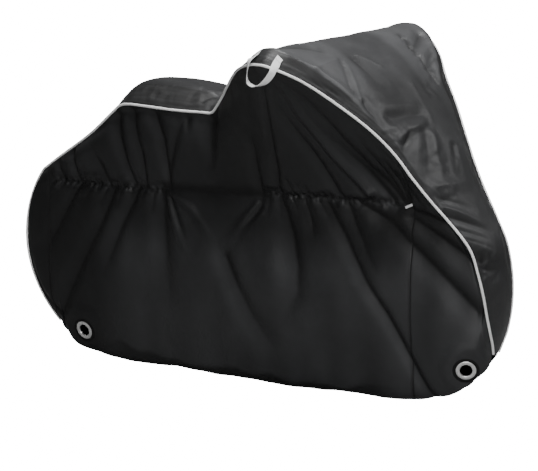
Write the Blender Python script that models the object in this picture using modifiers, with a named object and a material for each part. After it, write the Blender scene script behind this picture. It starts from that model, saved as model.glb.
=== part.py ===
"""Fitted bicycle cover, hanging as it does on a bicycle.

Frame: +X to the front wheel, +Y to the left side, +Z up, metres.  The origin is
under the top of the cover, where the handlebar carries it.  Shapes are worked out
in a bicycle frame first (X = 0 at the rear axle, Z = 0 at the lowest cloth) and
moved to the part frame by FRAME_SHIFT.
"""
import math

import bmesh
import bpy
from mathutils import Matrix, Vector
from mathutils.bvhtree import BVHTree

# ---- driving sizes -------------------------------------------------------
CLOTH = 0.0015            # thickness of every cloth sheet
SEAM_GAP = 0.0005         # between two cut edges that a seam joins
TYRE_RADIUS = 0.375       # cloth over the tyres
PIPING_RADIUS = 0.005     # filled piping in the edge seams
PIPING_GAP = 0.0008       # cut edge of a panel to the piping
PIPING_STEP = 0.037       # spacing of the stations along the piping
PIPING_SHORT = 0.006      # the piping stops this far before a hem
BAR_X = 0.790             # handlebar, ahead of the rear axle
TOP_UNDERSIDE_Z = 1.1062  # underside of the cloth over the handlebar
FRAME_SHIFT = Vector((-BAR_X, 0.0, -TOP_UNDERSIDE_Z))

ARC_CENTRE_X = 0.010      # of the cloth's round over the rear tyre
ARC_STEP_DEG = 5.5        # stations round the rear tyre
ARC_STEPS_DOWN, ARC_STEPS_UP = 9, 6   # from the rearmost point

SEAM_REAR_X = -0.255      # upright seams in each side
SEAM_FRONT_X = 1.178

EYELET_BORE = 0.0195      # radii of a metal eyelet
EYELET_RIM = 0.0320
EYELET_NECK = 0.0208
PATCH_RADIUS = 0.0420     # round cloth patch that carries an eyelet
EYELET_SEGMENTS = 16

STRAP_WIDTH = 0.020
STRAP_THICK = 0.0016
LAY_GAP = 0.0007          # sewn-on webbing to the cloth under it

RIGHT, LEFT = -1, 1       # sign of Y on each side

# ---- the edge seam, from the rear tyre over the top to the front hem -------
# Under the rear it follows the tyre, so its rows start where it leaves it.
# crown: how far the middle of the top cloth stands above the seam;
# power: how square the crown is across the width.
EDGE_ROWS = (
    # x,      z,     half_width, crown, power
    (-0.288, 0.601, 0.092, 0.016, 2.0),   # leaves the rear tyre
    (-0.215, 0.650, 0.101, 0.020, 2.0),
    (-0.074, 0.740, 0.120, 0.022, 2.0),
    (0.030, 0.822, 0.136, 0.032, 2.2),
    (0.066, 0.848, 0.142, 0.045, 2.4),    # saddle, rear corner
    (0.105, 0.857, 0.147, 0.064, 2.6),
    (0.185, 0.857, 0.152, 0.074, 2.8),
    (0.290, 0.855, 0.155, 0.074, 2.8),
    (0.400, 0.856, 0.150, 0.060, 2.6),
    (0.438, 0.858, 0.150, 0.044, 2.4),    # saddle, front corner
    (0.470, 0.881, 0.168, 0.032, 2.4),
    (0.520, 0.922, 0.205, 0.024, 2.6),
    (0.571, 0.964, 0.250, 0.019, 3.0),
    (0.626, 1.005, 0.300, 0.018, 3.4),
    (0.692, 1.041, 0.362, 0.022, 6.0),
    (0.769, 1.067, 0.422, 0.032, 11.0),
    (0.821, 1.076, 0.447, 0.038, 16.0),   # handlebar end
    (0.870, 1.071, 0.445, 0.038, 13.0),
    (0.949, 1.029, 0.390, 0.034, 6.5),
    (1.023, 0.962, 0.321, 0.030, 3.4),
    (1.109, 0.878, 0.254, 0.028, 2.6),
    (1.170, 0.801, 0.208, 0.026, 2.4),
    (1.220, 0.725, 0.180, 0.025, 2.2),
    (1.270, 0.657, 0.155, 0.024, 2.0),
    (1.343, 0.567, 0.121, 0.021, 2.0),
    (1.386, 0.504, 0.105, 0.019, 2.0),
    (1.409, 0.430, 0.097, 0.017, 2.0),
    (1.421, 0.367, 0.087, 0.014, 2.0),
    (1.426, 0.302, 0.073, 0.010, 2.0),
    (1.426, 0.238, 0.050, 0.006, 2.0),
    (1.422, 0.203, 0.031, 0.003, 2.0),
    (1.415, 0.165, 0.013, 0.000, 2.0),    # front hem, where it comes to a point
)
X, Z, HALF_WIDTH, CROWN, POWER = range(5)
ARC_HALF_WIDTH = 0.092    # along the rear tyre
ARC_END_HALF_WIDTH = 0.078
ARC_CROWN = 0.015
# past the ends of the piping the middle strip is tucked in under the tyre
STRIP_TAIL = (
    # half_width, crown
    (0.069, 0.012),
    (0.067, 0.009),
    (0.064, 0.006),
)

# half width of the middle strip where the two wings stand beside it
STRIP_ROWS = (
    # x,    half_width
    (0.40, 0.150),
    (0.55, 0.148),
    (0.80, 0.125),
    (0.95, 0.146),
    (1.03, 0.188),
    (1.11, 0.226),
    (1.20, 0.226),
)

# ---- cross-sections of a side, at points along the bicycle -----------------
# Each depth is measured from the middle plane; floor is the height of the
# lowest cloth, and turn is how much of the foot is tucked in under it.
SIDE_ROWS = (
    # x,     shoulder, waist, belly, foot,  mouth, floor, turn
    (-0.365, 0.094, 0.094, 0.094, 0.094, 0.092, 0.375, 0.0),
    (-0.305, 0.104, 0.104, 0.106, 0.100, 0.086, 0.171, 0.0),
    (-0.234, 0.116, 0.112, 0.115, 0.106, 0.078, 0.082, 0.0),
    (-0.172, 0.124, 0.118, 0.123, 0.113, 0.072, 0.035, 0.8),
    (-0.055, 0.144, 0.126, 0.132, 0.118, 0.070, 0.007, 1.0),
    (0.060, 0.152, 0.132, 0.140, 0.122, 0.068, 0.000, 1.0),
    (0.250, 0.164, 0.142, 0.154, 0.130, 0.068, 0.000, 1.0),
    (0.450, 0.166, 0.148, 0.172, 0.140, 0.070, 0.000, 1.0),
    (0.600, 0.236, 0.150, 0.178, 0.142, 0.070, 0.000, 1.0),
    (0.800, 0.342, 0.150, 0.166, 0.136, 0.068, 0.000, 1.0),
    (1.000, 0.272, 0.140, 0.146, 0.126, 0.065, 0.005, 1.0),
    (1.178, 0.166, 0.124, 0.128, 0.108, 0.058, 0.010, 1.0),
)
# ahead of the front seam: the right side hangs free, the left one is drawn in
FRONT_ROWS = {
    RIGHT: (
        (1.261, 0.138, 0.120, 0.122, 0.108, 0.066, 0.028, 1.0),
        (1.309, 0.124, 0.115, 0.116, 0.102, 0.070, 0.043, 1.0),
        (1.368, 0.110, 0.106, 0.106, 0.090, 0.070, 0.079, 0.8),
        (1.396, 0.100, 0.097, 0.090, 0.072, 0.056, 0.110, 0.5),
        (1.411, 0.090, 0.086, 0.068, 0.044, 0.030, 0.140, 0.2),
        (1.415, 0.080, 0.076, 0.048, 0.022, 0.012, 0.165, 0.0),
    ),
    LEFT: (
        (1.236, 0.144, 0.120, 0.118, 0.090, 0.046, 0.022, 1.0),
        (1.303, 0.124, 0.113, 0.102, 0.066, 0.032, 0.055, 1.0),
        (1.343, 0.112, 0.106, 0.088, 0.048, 0.023, 0.091, 0.8),
        (1.383, 0.098, 0.092, 0.068, 0.030, 0.015, 0.128, 0.3),
        (1.415, 0.080, 0.076, 0.052, 0.020, 0.012, 0.165, 0.0),
    ),
}
SHOULDER, WAIST, BELLY, FOOT, MOUTH, FLOOR, TURN = range(1, 8)
WAIST_Z, WAIST_RISE = 0.575, 0.042    # height at the rear axle, rise for each metre
SHOULDER_AT = 0.30                    # of the way from the edge seam to the waist
FOOT_HEIGHT = 0.055
TUCK_HEIGHT = 0.007                   # the hem stands this far above the lowest cloth
SHORT_COLUMN = 0.22                   # below this height a section straightens out

# places of the rows of points between the knots of a section
SECTION_SPANS = (
    (1.0,),                       # edge seam to shoulder
    (0.45, 0.84, 1.0),            # shoulder to waist
    (0.16, 0.52, 1.0),            # waist to belly
    (0.35, 0.68, 1.0),            # belly to foot
    (0.50, 1.0),                  # foot to the lowest cloth
    (1.0,),                       # tucked in to the hem
)

# ---- folds -----------------------------------------------------------------
# Each runs from (x0, z0) to (x1, z1) on the side; height is outwards, so a
# negative one is a trough.  Widths are at its two ends.
SIDE_FOLDS = (
    # x0,    z0,     x1,     z1,     width0, width1, height
    (0.225, 0.585, 0.279, 0.180, 0.014, 0.030, -0.012),
    (0.175, 0.560, 0.190, 0.250, 0.020, 0.050, 0.008),
    (0.245, 0.560, 0.452, 0.412, 0.014, 0.026, -0.009),
    (0.609, 0.600, 0.480, 0.403, 0.014, 0.026, -0.009),
    (0.480, 0.403, 0.718, 0.128, 0.022, 0.032, -0.011),
    (0.640, 0.580, 0.600, 0.330, 0.020, 0.045, 0.009),
    (0.690, 0.590, 0.762, 0.213, 0.014, 0.034, -0.012),
    (0.895, 0.600, 1.272, 0.055, 0.014, 0.026, -0.014),
    (0.840, 0.590, 1.020, 0.280, 0.020, 0.045, 0.009),
    (0.949, 0.606, 1.400, 0.376, 0.014, 0.024, -0.011),
    (1.002, 0.619, 1.268, 0.478, 0.012, 0.020, 0.007),
    (1.185, 0.620, 1.405, 0.500, 0.012, 0.020, -0.008),
    (0.064, 0.565, -0.179, 0.113, 0.014, 0.028, -0.012),
    (-0.151, 0.545, -0.275, 0.284, 0.012, 0.022, -0.008),
    (0.122, 0.560, 0.003, 0.315, 0.014, 0.026, -0.009),
    (-0.020, 0.560, -0.100, 0.400, 0.014, 0.024, 0.007),
    (-0.119, 0.708, -0.110, 0.590, 0.012, 0.012, -0.006),
    (-0.030, 0.752, 0.006, 0.600, 0.013, 0.013, -0.007),
    (0.037, 0.815, 0.065, 0.600, 0.013, 0.013, -0.008),
    (0.103, 0.835, 0.116, 0.605, 0.014, 0.013, -0.007),
    (0.146, 0.835, 0.181, 0.610, 0.014, 0.013, -0.008),
    (0.211, 0.820, 0.225, 0.610, 0.014, 0.013, -0.007),
    (0.304, 0.828, 0.253, 0.610, 0.018, 0.013, -0.010),
    (0.397, 0.840, 0.450, 0.668, 0.016, 0.012, -0.007),
    (0.488, 0.844, 0.450, 0.668, 0.016, 0.012, -0.007),
    (0.740, 0.975, 0.815, 0.640, 0.016, 0.014, -0.012),
    (0.628, 0.783, 0.656, 0.630, 0.016, 0.014, -0.009),
    (0.800, 0.929, 1.002, 0.650, 0.016, 0.014, -0.010),
    (0.867, 0.935, 1.148, 0.655, 0.016, 0.012, -0.012),
    (0.908, 0.916, 1.180, 0.655, 0.014, 0.012, -0.009),
    (0.240, 0.590, 0.640, 0.604, 0.026, 0.026, -0.010),
)
# Elastic runs draw the waist in: x of the two ends of each run.
GATHER_RUNS = ((-0.234, 0.245), (0.650, 1.165))
GATHER_DEPTH = 0.008
GATHER_REACH = 0.075
FOLD_LIMIT = 0.016        # no fold goes deeper, where several meet

# creases of the top cloth: x, share of the half width, and their end
TOP_FOLDS = (
    # x0,  across0, x1,  across1, width, height
    (0.12, -0.55, 0.43, -0.20, 0.030, -0.005),
    (0.20, 0.30, 0.40, 0.60, 0.030, -0.004),
    (0.90, -0.70, 1.06, -0.45, 0.026, -0.006),
    (0.97, 0.55, 1.12, 0.25, 0.034, -0.006),
    (1.10, -0.30, 1.22, 0.45, 0.034, -0.006),
    (1.20, -0.90, 1.29, 0.30, 0.026, -0.006),
)

# eyelets: x and z on each side
EYELETS = {
    RIGHT: (("rear", -0.105, 0.081), ("front", 1.363, 0.126)),
    LEFT: (("rear", -0.105, 0.081), ("front", 1.309, 0.118)),
}
FLAT_INNER, FLAT_OUTER = 0.080, 0.125  # cloth kept flat round an eyelet

# loop strap: places in the bicycle frame.  twist turns the webbing about its run:
# at 0 its width is square to the side of the cover.
LOOP_ROWS = (
    # x,     depth, z,     twist in degrees
    (0.782, 0.452, 1.090, -60.0),
    (0.779, 0.460, 1.062, -40.0),
    (0.778, 0.463, 1.032, -30.0),
    (0.788, 0.465, 1.009, -12.0),
    (0.812, 0.466, 0.999, 0.0),
    (0.840, 0.466, 1.008, 14.0),
    (0.859, 0.465, 1.032, 26.0),
    (0.873, 0.463, 1.062, 34.0),
    (0.882, 0.457, 1.088, 60.0),
)
LOOP_FEET = ((0.784, 0.416), (0.884, 0.412))  # sewn ends: x and depth on the wing
LOOP_FOOT_LENGTH = 0.016

TAB_PLACE = (1.162, 0.624)     # sewn tab at the front end of each front gather
TAB_SIZE = (0.028, 0.008, 0.0014)
TAB_TILT_DEG = 24.0

# ---- finishes: colour, roughness, metallic ----------------------------------
FINISHES = {
    "side_cloth": ((0.012, 0.012, 0.013), 0.55, 0.0),
    "top_cloth": ((0.030, 0.030, 0.032), 0.45, 0.0),
    "piping": ((0.80, 0.80, 0.80), 0.50, 0.0),
    "webbing": ((0.42, 0.42, 0.43), 0.60, 0.0),
    "eyelet": ((0.80, 0.80, 0.82), 0.25, 1.0),
}


# ---- small helpers -----------------------------------------------------------
def lookup(rows, column, x):
    """Smooth value of a table's column at x (cubic through the rows)."""
    last = len(rows) - 1
    if x <= rows[0][0]:
        return rows[0][column]
    if x >= rows[last][0]:
        return rows[last][column]
    i = max(k for k in range(last) if rows[k][0] <= x)

    def slope(k):
        low, high = max(k - 1, 0), min(k + 1, last)
        return (rows[high][column] - rows[low][column]) / (rows[high][0] - rows[low][0])

    span = rows[i + 1][0] - rows[i][0]
    t = (x - rows[i][0]) / span
    start, end = rows[i][column], rows[i + 1][column]
    return ((2 * t**3 - 3 * t**2 + 1) * start + (t**3 - 2 * t**2 + t) * span * slope(i)
            + (3 * t**2 - 2 * t**3) * end + (t**3 - t**2) * span * slope(i + 1))


def side_lookup(column, x, side):
    """Smooth value of a column of one side's rows at x."""
    return lookup(SIDE_ROWS + FRONT_ROWS[side], column, x)


def smoothstep(t):
    t = min(1.0, max(0.0, t))
    return t * t * (3 - 2 * t)


def spline_point(knots, i, t):
    """Point between knots i and i + 1 of a smooth curve through all of them."""
    p1, p2 = knots[i], knots[i + 1]
    p0 = knots[i - 1] if i else 2 * p1 - p2
    p3 = knots[i + 2] if i + 2 < len(knots) else 2 * p2 - p1
    return 0.5 * (2 * p1 + (p2 - p0) * t + (2 * p0 - 5 * p1 + 4 * p2 - p3) * t**2
                  + (3 * p1 - p0 - 3 * p2 + p3) * t**3)


def material(name):
    colour, roughness, metallic = FINISHES[name]
    made = bpy.data.materials.get(name) or bpy.data.materials.new(name)
    made.use_nodes = True
    shader = made.node_tree.nodes["Principled BSDF"]
    shader.inputs["Base Color"].default_value = (*colour, 1.0)
    shader.inputs["Roughness"].default_value = roughness
    shader.inputs["Metallic"].default_value = metallic
    return made


def place(name, mesh, finish, collection):
    """Object named for its sub-part, in the part frame."""
    made = bpy.data.objects.new(name, mesh)
    mesh.materials.append(material(finish))
    collection.objects.link(made)
    return made


# ---- the edge seam -----------------------------------------------------------
def edge_stations():
    """Evenly spaced rows along the edge seam, from the rear hem to the front."""
    stations = []
    for step in range(-ARC_STEPS_DOWN, ARC_STEPS_UP + 1):
        angle = math.radians(step * ARC_STEP_DEG)
        tuck = smoothstep(-step / ARC_STEPS_DOWN) * (ARC_HALF_WIDTH - ARC_END_HALF_WIDTH)
        stations.append((ARC_CENTRE_X - TYRE_RADIUS * math.cos(angle),
                         TYRE_RADIUS * (1 + math.sin(angle)),
                         ARC_HALF_WIDTH - tuck, ARC_CROWN, 2.0))
    knots = [Vector(row) for row in EDGE_ROWS]
    fine = [spline_point(knots, i, t / 20) for i in range(len(knots) - 1) for t in range(20)]
    fine.append(knots[-1])
    run = [0.0]
    for a, b in zip(fine, fine[1:]):
        run.append(run[-1] + (Vector(b[:3]) - Vector(a[:3])).length)
    count = round(run[-1] / PIPING_STEP)
    k = 0
    for n in range(count + 1):
        want = run[-1] * n / count
        while k < len(run) - 2 and run[k + 1] < want:
            k += 1
        t = (want - run[k]) / (run[k + 1] - run[k])
        stations.append(tuple(fine[k].lerp(fine[k + 1], t)))
    return stations


STATIONS = edge_stations()
REAREST = ARC_STEPS_DOWN  # index of the station at the rearmost point


def edge_point(i, side):
    row = STATIONS[i]
    return Vector((row[X], side * row[HALF_WIDTH], row[Z]))


def edge_direction(i, reach=1):
    low, high = max(i - reach, 0), min(i + reach, len(STATIONS) - 1)
    a, b = STATIONS[low], STATIONS[high]
    return Vector((b[X] - a[X], 0.0, b[Z] - a[Z])).normalized()


def outward(i):
    """Direction in which the top cloth is crowned: square to a wide stretch of the seam."""
    along = edge_direction(i, 4)
    return Vector((-along.z, 0.0, along.x))


def edge_height(x):
    """Height of the upper run of the edge seam at x."""
    part = STATIONS[REAREST:]
    for a, b in zip(part, part[1:]):
        if a[X] <= x <= b[X]:
            return a[Z] + (b[Z] - a[Z]) * (x - a[X]) / max(b[X] - a[X], 1e-9)
    return part[-1][Z] if x > part[-1][X] else part[0][Z]


# ---- top cloth -----------------------------------------------------------------
def top_point(i, across):
    """Point of the top cloth at station i; across runs from -1 (right) to 1 (left)."""
    row = STATIONS[i]
    rise = row[CROWN] * (1 - abs(across) ** row[POWER])
    if i > REAREST:
        for x0, s0, x1, s1, width, height in TOP_FOLDS:
            start, run = Vector((x0, s0 * 0.2)), Vector((x1 - x0, (s1 - s0) * 0.2))
            here = Vector((row[X], across * 0.2))
            t = min(1.0, max(0.0, (here - start).dot(run) / run.length_squared))
            away = (here - start - run * t).length
            rise += height * math.exp(-(away / width) ** 2) * (1 - across**4)
    return Vector((row[X], across * row[HALF_WIDTH], row[Z])) + outward(i) * rise


def from_piping(point, i):
    """Distance from a point to the middle of the left piping, near station i."""
    near = [edge_point(k, LEFT) for k in range(max(i - 3, 0), min(i + 4, len(STATIONS)))]
    best = math.inf
    for a, b in zip(near, near[1:]):
        t = min(1.0, max(0.0, (point - a).dot(b - a) / (b - a).length_squared))
        best = min(best, (point - a.lerp(b, t)).length)
    return best


def clear_share(i):
    """Share of the half width at which the top cloth clears the piping."""
    want = PIPING_RADIUS + PIPING_GAP
    low, high = 0.5, 1.0
    for _ in range(30):
        middle = (low + high) / 2
        if from_piping(top_point(i, middle), i) > want:
            low = middle
        else:
            high = middle
    return low


WING_TIP = 0.004          # width of a wing at its two pointed ends
WING_STATIONS = [i for i in range(REAREST + 1, len(STATIONS))
                 if STATIONS[i][HALF_WIDTH] * clear_share(i) - lookup(STRIP_ROWS, 1, STATIONS[i][X])
                 > WING_TIP and 0.42 < STATIONS[i][X] < 1.16]
WING_STATIONS = [WING_STATIONS[0] - 1] + WING_STATIONS + [WING_STATIONS[-1] + 1]


def seam_share(i):
    """Share of the half width at which the middle strip meets a wing."""
    if i in (WING_STATIONS[0], WING_STATIONS[-1]):
        return clear_share(i) - (WING_TIP + SEAM_GAP) / STATIONS[i][HALF_WIDTH]
    return lookup(STRIP_ROWS, 1, STATIONS[i][X]) / STATIONS[i][HALF_WIDTH]


# ---- side cloth ------------------------------------------------------------------
def hem_x(top):
    """Where the column of cloth that starts at top meets the hem."""
    if top.x <= SEAM_FRONT_X:
        return top.x
    seam_z, tip = edge_height(SEAM_FRONT_X), STATIONS[-1]
    share = (seam_z - top.z) / (seam_z - tip[Z])
    return SEAM_FRONT_X + (tip[X] - SEAM_FRONT_X) * min(1.0, max(0.0, share))


def section(top, side, bottom=None):
    """Points from top down the side, to the hem or to a point bottom of the edge seam."""
    low_x = bottom.x if bottom else hem_x(top)
    floor = bottom.z if bottom else side_lookup(FLOOR, low_x, side)
    turn = 0.0 if bottom else side_lookup(TURN, low_x, side)
    mouth = abs(bottom.y) if bottom else side_lookup(MOUTH, low_x, side)
    tall = top.z - floor
    waist_z = min(WAIST_Z + WAIST_RISE * top.x, floor + 0.8 * tall)
    foot_z = floor + min(FOOT_HEIGHT, 0.18 * tall)
    full = smoothstep(tall / SHORT_COLUMN)

    def knot(column, z):
        share = (top.z - z) / tall
        x = top.x + (low_x - top.x) * share
        straight = abs(top.y) + (mouth - abs(top.y)) * share
        depth = straight + (side_lookup(column, x, side) - straight) * full
        return Vector((x, side * depth, z))

    foot = knot(FOOT, foot_z)
    lowest_y = side * (mouth + turn * 0.6 * (abs(foot.y) - mouth))
    lowest_z = floor + (1 - turn) * 0.35 * (foot_z - floor)
    knots = [
        top.copy(),
        knot(SHOULDER, top.z - SHOULDER_AT * (top.z - waist_z)),
        knot(WAIST, waist_z),
        knot(BELLY, (waist_z + floor) / 2),
        foot,
        Vector((low_x, lowest_y, lowest_z)),
        Vector((low_x, side * mouth, floor + turn * TUCK_HEIGHT)),
    ]
    points = [knots[0]]
    for i, places in enumerate(SECTION_SPANS):
        points += [spline_point(knots, i, t) for t in places]
    return points


def side_folds(point):
    """How far the folds move a point of the side outwards."""
    moved = 0.0
    here = Vector((point.x, point.z))
    for x0, z0, x1, z1, width0, width1, height in SIDE_FOLDS:
        start, run = Vector((x0, z0)), Vector((x1 - x0, z1 - z0))
        t = min(1.0, max(0.0, (here - start).dot(run) / run.length_squared))
        width = width0 + (width1 - width0) * t
        away = (here - start - run * t).length
        moved += height * math.exp(-(away / width) ** 2) * (1 - 0.45 * t)
    return moved


def gather(x, z, column):
    """Alternate columns of an elastic run go in and out."""
    for start, end in GATHER_RUNS:
        if start < x < end:
            away = abs(z - WAIST_Z - WAIST_RISE * x)
            swing = 1 if column % 2 else -1
            return swing * GATHER_DEPTH * math.exp(-(away / GATHER_REACH) ** 2)
    return 0.0


def side_edge(i, side):
    """Cut edge of the side at station i, clear of the piping."""
    centre = edge_point(i, side)
    along = edge_point(min(i + 1, len(STATIONS) - 1), side) - edge_point(max(i - 1, 0), side)
    inward = -Vector((-along.z, 0.0, along.x)).normalized()
    if REAREST < i < len(STATIONS) - 1:
        next_down = section(centre, side)[1]
        slope = (abs(next_down.y) - abs(centre.y)) / (next_down - centre).length
        inward += Vector((0.0, side * slope * abs(inward.z), 0.0))
    along.normalize()
    inward = (inward - along * inward.dot(along)).normalized()
    return centre + inward * (PIPING_RADIUS + PIPING_GAP)


def lower_edge(x, side):
    """Point at x on the cut edge under the rear tyre, or None ahead of the hem's end."""
    part = [side_edge(i, side) for i in range(REAREST, -1, -1)]
    for a, b in zip(part, part[1:]):
        if a.x <= x <= b.x:
            return a.lerp(b, (x - a.x) / (b.x - a.x))
    return None


def flatten(point, eyelet):
    """Draw a point near an eyelet onto the flat of the eyelet."""
    centre, normal = eyelet
    away = (point - centre).length
    share = 1 - smoothstep((away - FLAT_INNER) / (FLAT_OUTER - FLAT_INNER))
    return point - normal * (point - centre).dot(normal) * share


def eyelet_frame(x, z, side):
    """Centre and outward normal of an eyelet on the unfolded side."""
    def on_side(at_x, at_z):
        top = Vector((at_x, side * side_lookup(SHOULDER, at_x, side), edge_height(at_x)))
        points = section(top, side, Vector((at_x, side * side_lookup(MOUTH, at_x, side),
                                            side_lookup(FLOOR, at_x, side))))
        for a, b in zip(points, points[1:]):
            if b.z <= at_z <= a.z:
                return a.lerp(b, (a.z - at_z) / (a.z - b.z))
        return points[-1]

    reach = 0.022
    centre = on_side(x, z)
    along = on_side(x + reach, z) - on_side(x - reach, z)
    up = on_side(x, z + reach) - on_side(x, z - reach)
    normal = along.cross(up).normalized()
    return centre, normal if normal.y * side > 0 else -normal


def column_tops(side):
    """Upper ends of the columns of a side, with one right above the rear end of the hem."""
    tops = [side_edge(i, side) for i in range(REAREST, len(STATIONS))]
    hem_end = side_edge(0, side).x - 1e-5
    k = max(n for n, top in enumerate(tops) if top.x <= hem_end)
    a, b = tops[k], tops[k + 1]
    above = a.lerp(b, (hem_end - a.x) / (b.x - a.x))
    behind = tops[:k] if (above - a).length < 0.3 * PIPING_STEP else tops[:k + 1]
    ahead = tops[k + 2:] if (above - b).length < 0.3 * PIPING_STEP else tops[k + 1:]
    return behind + [above] + ahead


def side_columns(side):
    """Columns of points of a whole side, rear tip to front tip."""
    eyelets = [eyelet_frame(x, z, side) for _, x, z in EYELETS[side]]
    tops = column_tops(side)
    columns = []
    for number, edge in enumerate(tops):
        if number in (0, len(tops) - 1):
            rows = 1 + sum(len(places) for places in SECTION_SPANS)
            columns.append([edge.copy() for _ in range(rows)])
            continue
        points = section(edge, side, lower_edge(edge.x, side))
        floor = min(p.z for p in points)
        shaped = [points[0]]
        for row, p in enumerate(points[1:], 1):
            fade = smoothstep((p.z - floor) / 0.05) * smoothstep(row / 2)
            fade *= smoothstep((edge.z - floor) / 0.25)
            moved = side_folds(p) + gather(p.x, p.z, number)
            out = FOLD_LIMIT * math.tanh(moved / FOLD_LIMIT) * fade
            p = p + Vector((0.0, side * out, 0.0))
            for eyelet in eyelets:
                p = flatten(p, eyelet)
            shaped.append(p)
        columns.append(shaped)
    return columns


def cut_at(columns, x, keep_front):
    """Columns on one side of an upright seam at x, with a last one on the seam."""
    at = x + SEAM_GAP / 2 if keep_front else x - SEAM_GAP / 2
    k = max(n for n in range(len(columns) - 1) if columns[n][0].x <= at)
    a, b = columns[k], columns[k + 1]
    on_seam = []
    for p, q in zip(a, b):
        t = (at - p.x) / (q.x - p.x) if abs(q.x - p.x) > 1e-6 else 0.5
        on_seam.append(p.lerp(q, t))
    if keep_front:
        near = abs(columns[k + 1][0].x - at) < 0.006
        return [on_seam] + columns[k + (2 if near else 1):]
    near = abs(columns[k][0].x - at) < 0.006
    return columns[:k + (0 if near else 1)] + [on_seam]


# ---- making the pieces ----------------------------------------------------------
def loft(name, columns, finish, collection, thickness=CLOTH):
    """Cloth sheet through columns of points, with its thickness as a modifier."""
    mesh = bpy.data.meshes.new(name)
    bm = bmesh.new()
    grid = [[bm.verts.new(p + FRAME_SHIFT) for p in column] for column in columns]
    for a, b in zip(grid, grid[1:]):
        for row in range(len(a) - 1):
            bm.faces.new((a[row], a[row + 1], b[row + 1], b[row]))
    bmesh.ops.remove_doubles(bm, verts=bm.verts, dist=1e-5)
    bmesh.ops.triangulate(bm, faces=bm.faces)
    bm.to_mesh(mesh)
    bm.free()
    made = place(name, mesh, finish, collection)
    wall = made.modifiers.new("wall", "SOLIDIFY")
    wall.thickness = thickness
    wall.offset = 0.0
    wall.use_quality_normals = True
    mesh.shade_smooth()
    mesh.set_sharp_from_angle(angle=math.radians(40))
    return made


def tail_columns(shares):
    """Columns of the middle strip under the rear tyre, from its hem to the piping's ends."""
    columns = []
    for n, (half, crown) in enumerate(STRIP_TAIL, 1):
        angle = math.radians(-(ARC_STEPS_DOWN + n) * ARC_STEP_DEG)
        out = Vector((-math.cos(angle), 0.0, math.sin(angle)))
        middle = Vector((ARC_CENTRE_X, 0.0, TYRE_RADIUS)) + out * TYRE_RADIUS
        columns.insert(0, [middle + Vector((0.0, s * half, 0.0)) + out * crown * (1 - s * s)
                           for s in shares])
    return columns


def make_strip(collection):
    """Middle strip: rear hem, over the saddle and handlebar, down to the front hem."""
    shares = (-1.0, -0.72, -0.36, 0.0, 0.36, 0.72, 1.0)
    columns = tail_columns(shares)
    for i in range(len(STATIONS)):
        edge = clear_share(i)
        if WING_STATIONS[0] <= i <= WING_STATIONS[-1]:
            edge = seam_share(i)
        columns.append([top_point(i, s * edge) for s in shares])
    return loft("centre_strip", columns, "top_cloth", collection)


def make_wing(name, side, collection):
    """Side wing, folded over the handlebar between the strip and the edge seam."""
    columns = []
    for i in WING_STATIONS:
        inner = seam_share(i) + SEAM_GAP / STATIONS[i][HALF_WIDTH]
        outer = clear_share(i)
        width = STATIONS[i][HALF_WIDTH]
        columns.append([top_point(i, side * (inner + (outer - inner) * math.sin(t * math.pi / 10)))
                        for t in range(6)])
    return loft(name, columns, "top_cloth", collection)


def make_piping(name, side, collection):
    """Filled piping along the edge seam."""
    curve = bpy.data.curves.new(name, "CURVE")
    curve.dimensions = "3D"
    curve.bevel_depth = PIPING_RADIUS
    curve.bevel_resolution = 1
    curve.use_fill_caps = True
    spline = curve.splines.new("POLY")
    spline.points.add(len(STATIONS) - 1)
    places = [edge_point(i, side) for i in range(len(STATIONS))]
    for end, second in ((0, 1), (-1, -2)):
        inward = (places[second] - places[end]).normalized()
        places[end] = places[end] + inward * PIPING_SHORT
    for point, at in zip(spline.points, places):
        point.co = (*(at + FRAME_SHIFT), 1.0)
    return place(name, curve, "piping", collection)


def turned(name, profile, finish, collection):
    """Ring turned about Z from a closed profile of (radius, height)."""
    mesh = bpy.data.meshes.new(name)
    count = len(profile)
    mesh.from_pydata([(r, 0.0, h) for r, h in profile],
                     [(n, (n + 1) % count) for n in range(count)], [])
    made = place(name, mesh, finish, collection)
    screw = made.modifiers.new("turn", "SCREW")
    screw.angle = math.tau
    screw.steps = EYELET_SEGMENTS
    screw.render_steps = EYELET_SEGMENTS
    screw.use_merge_vertices = True
    screw.merge_threshold = 0.0001
    return made


def patch_profile():
    half = CLOTH / 2
    bore = EYELET_NECK + 0.0003
    return ((bore, -half), (bore, half), (PATCH_RADIUS, half), (PATCH_RADIUS, -half))


def eyelet_profile():
    """Two flanges on a neck; the outer one has a flat rim face."""
    seat = CLOTH / 2 + 0.0003
    back = seat + 0.0012
    front = seat + 0.0022
    return ((EYELET_BORE, -back), (EYELET_BORE, front - 0.0010), (0.0222, front),
            (0.0294, front), (EYELET_RIM, front - 0.0014), (EYELET_RIM, seat),
            (EYELET_NECK, seat), (EYELET_NECK, -seat), (0.0285, -seat), (0.0285, -back))


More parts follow.
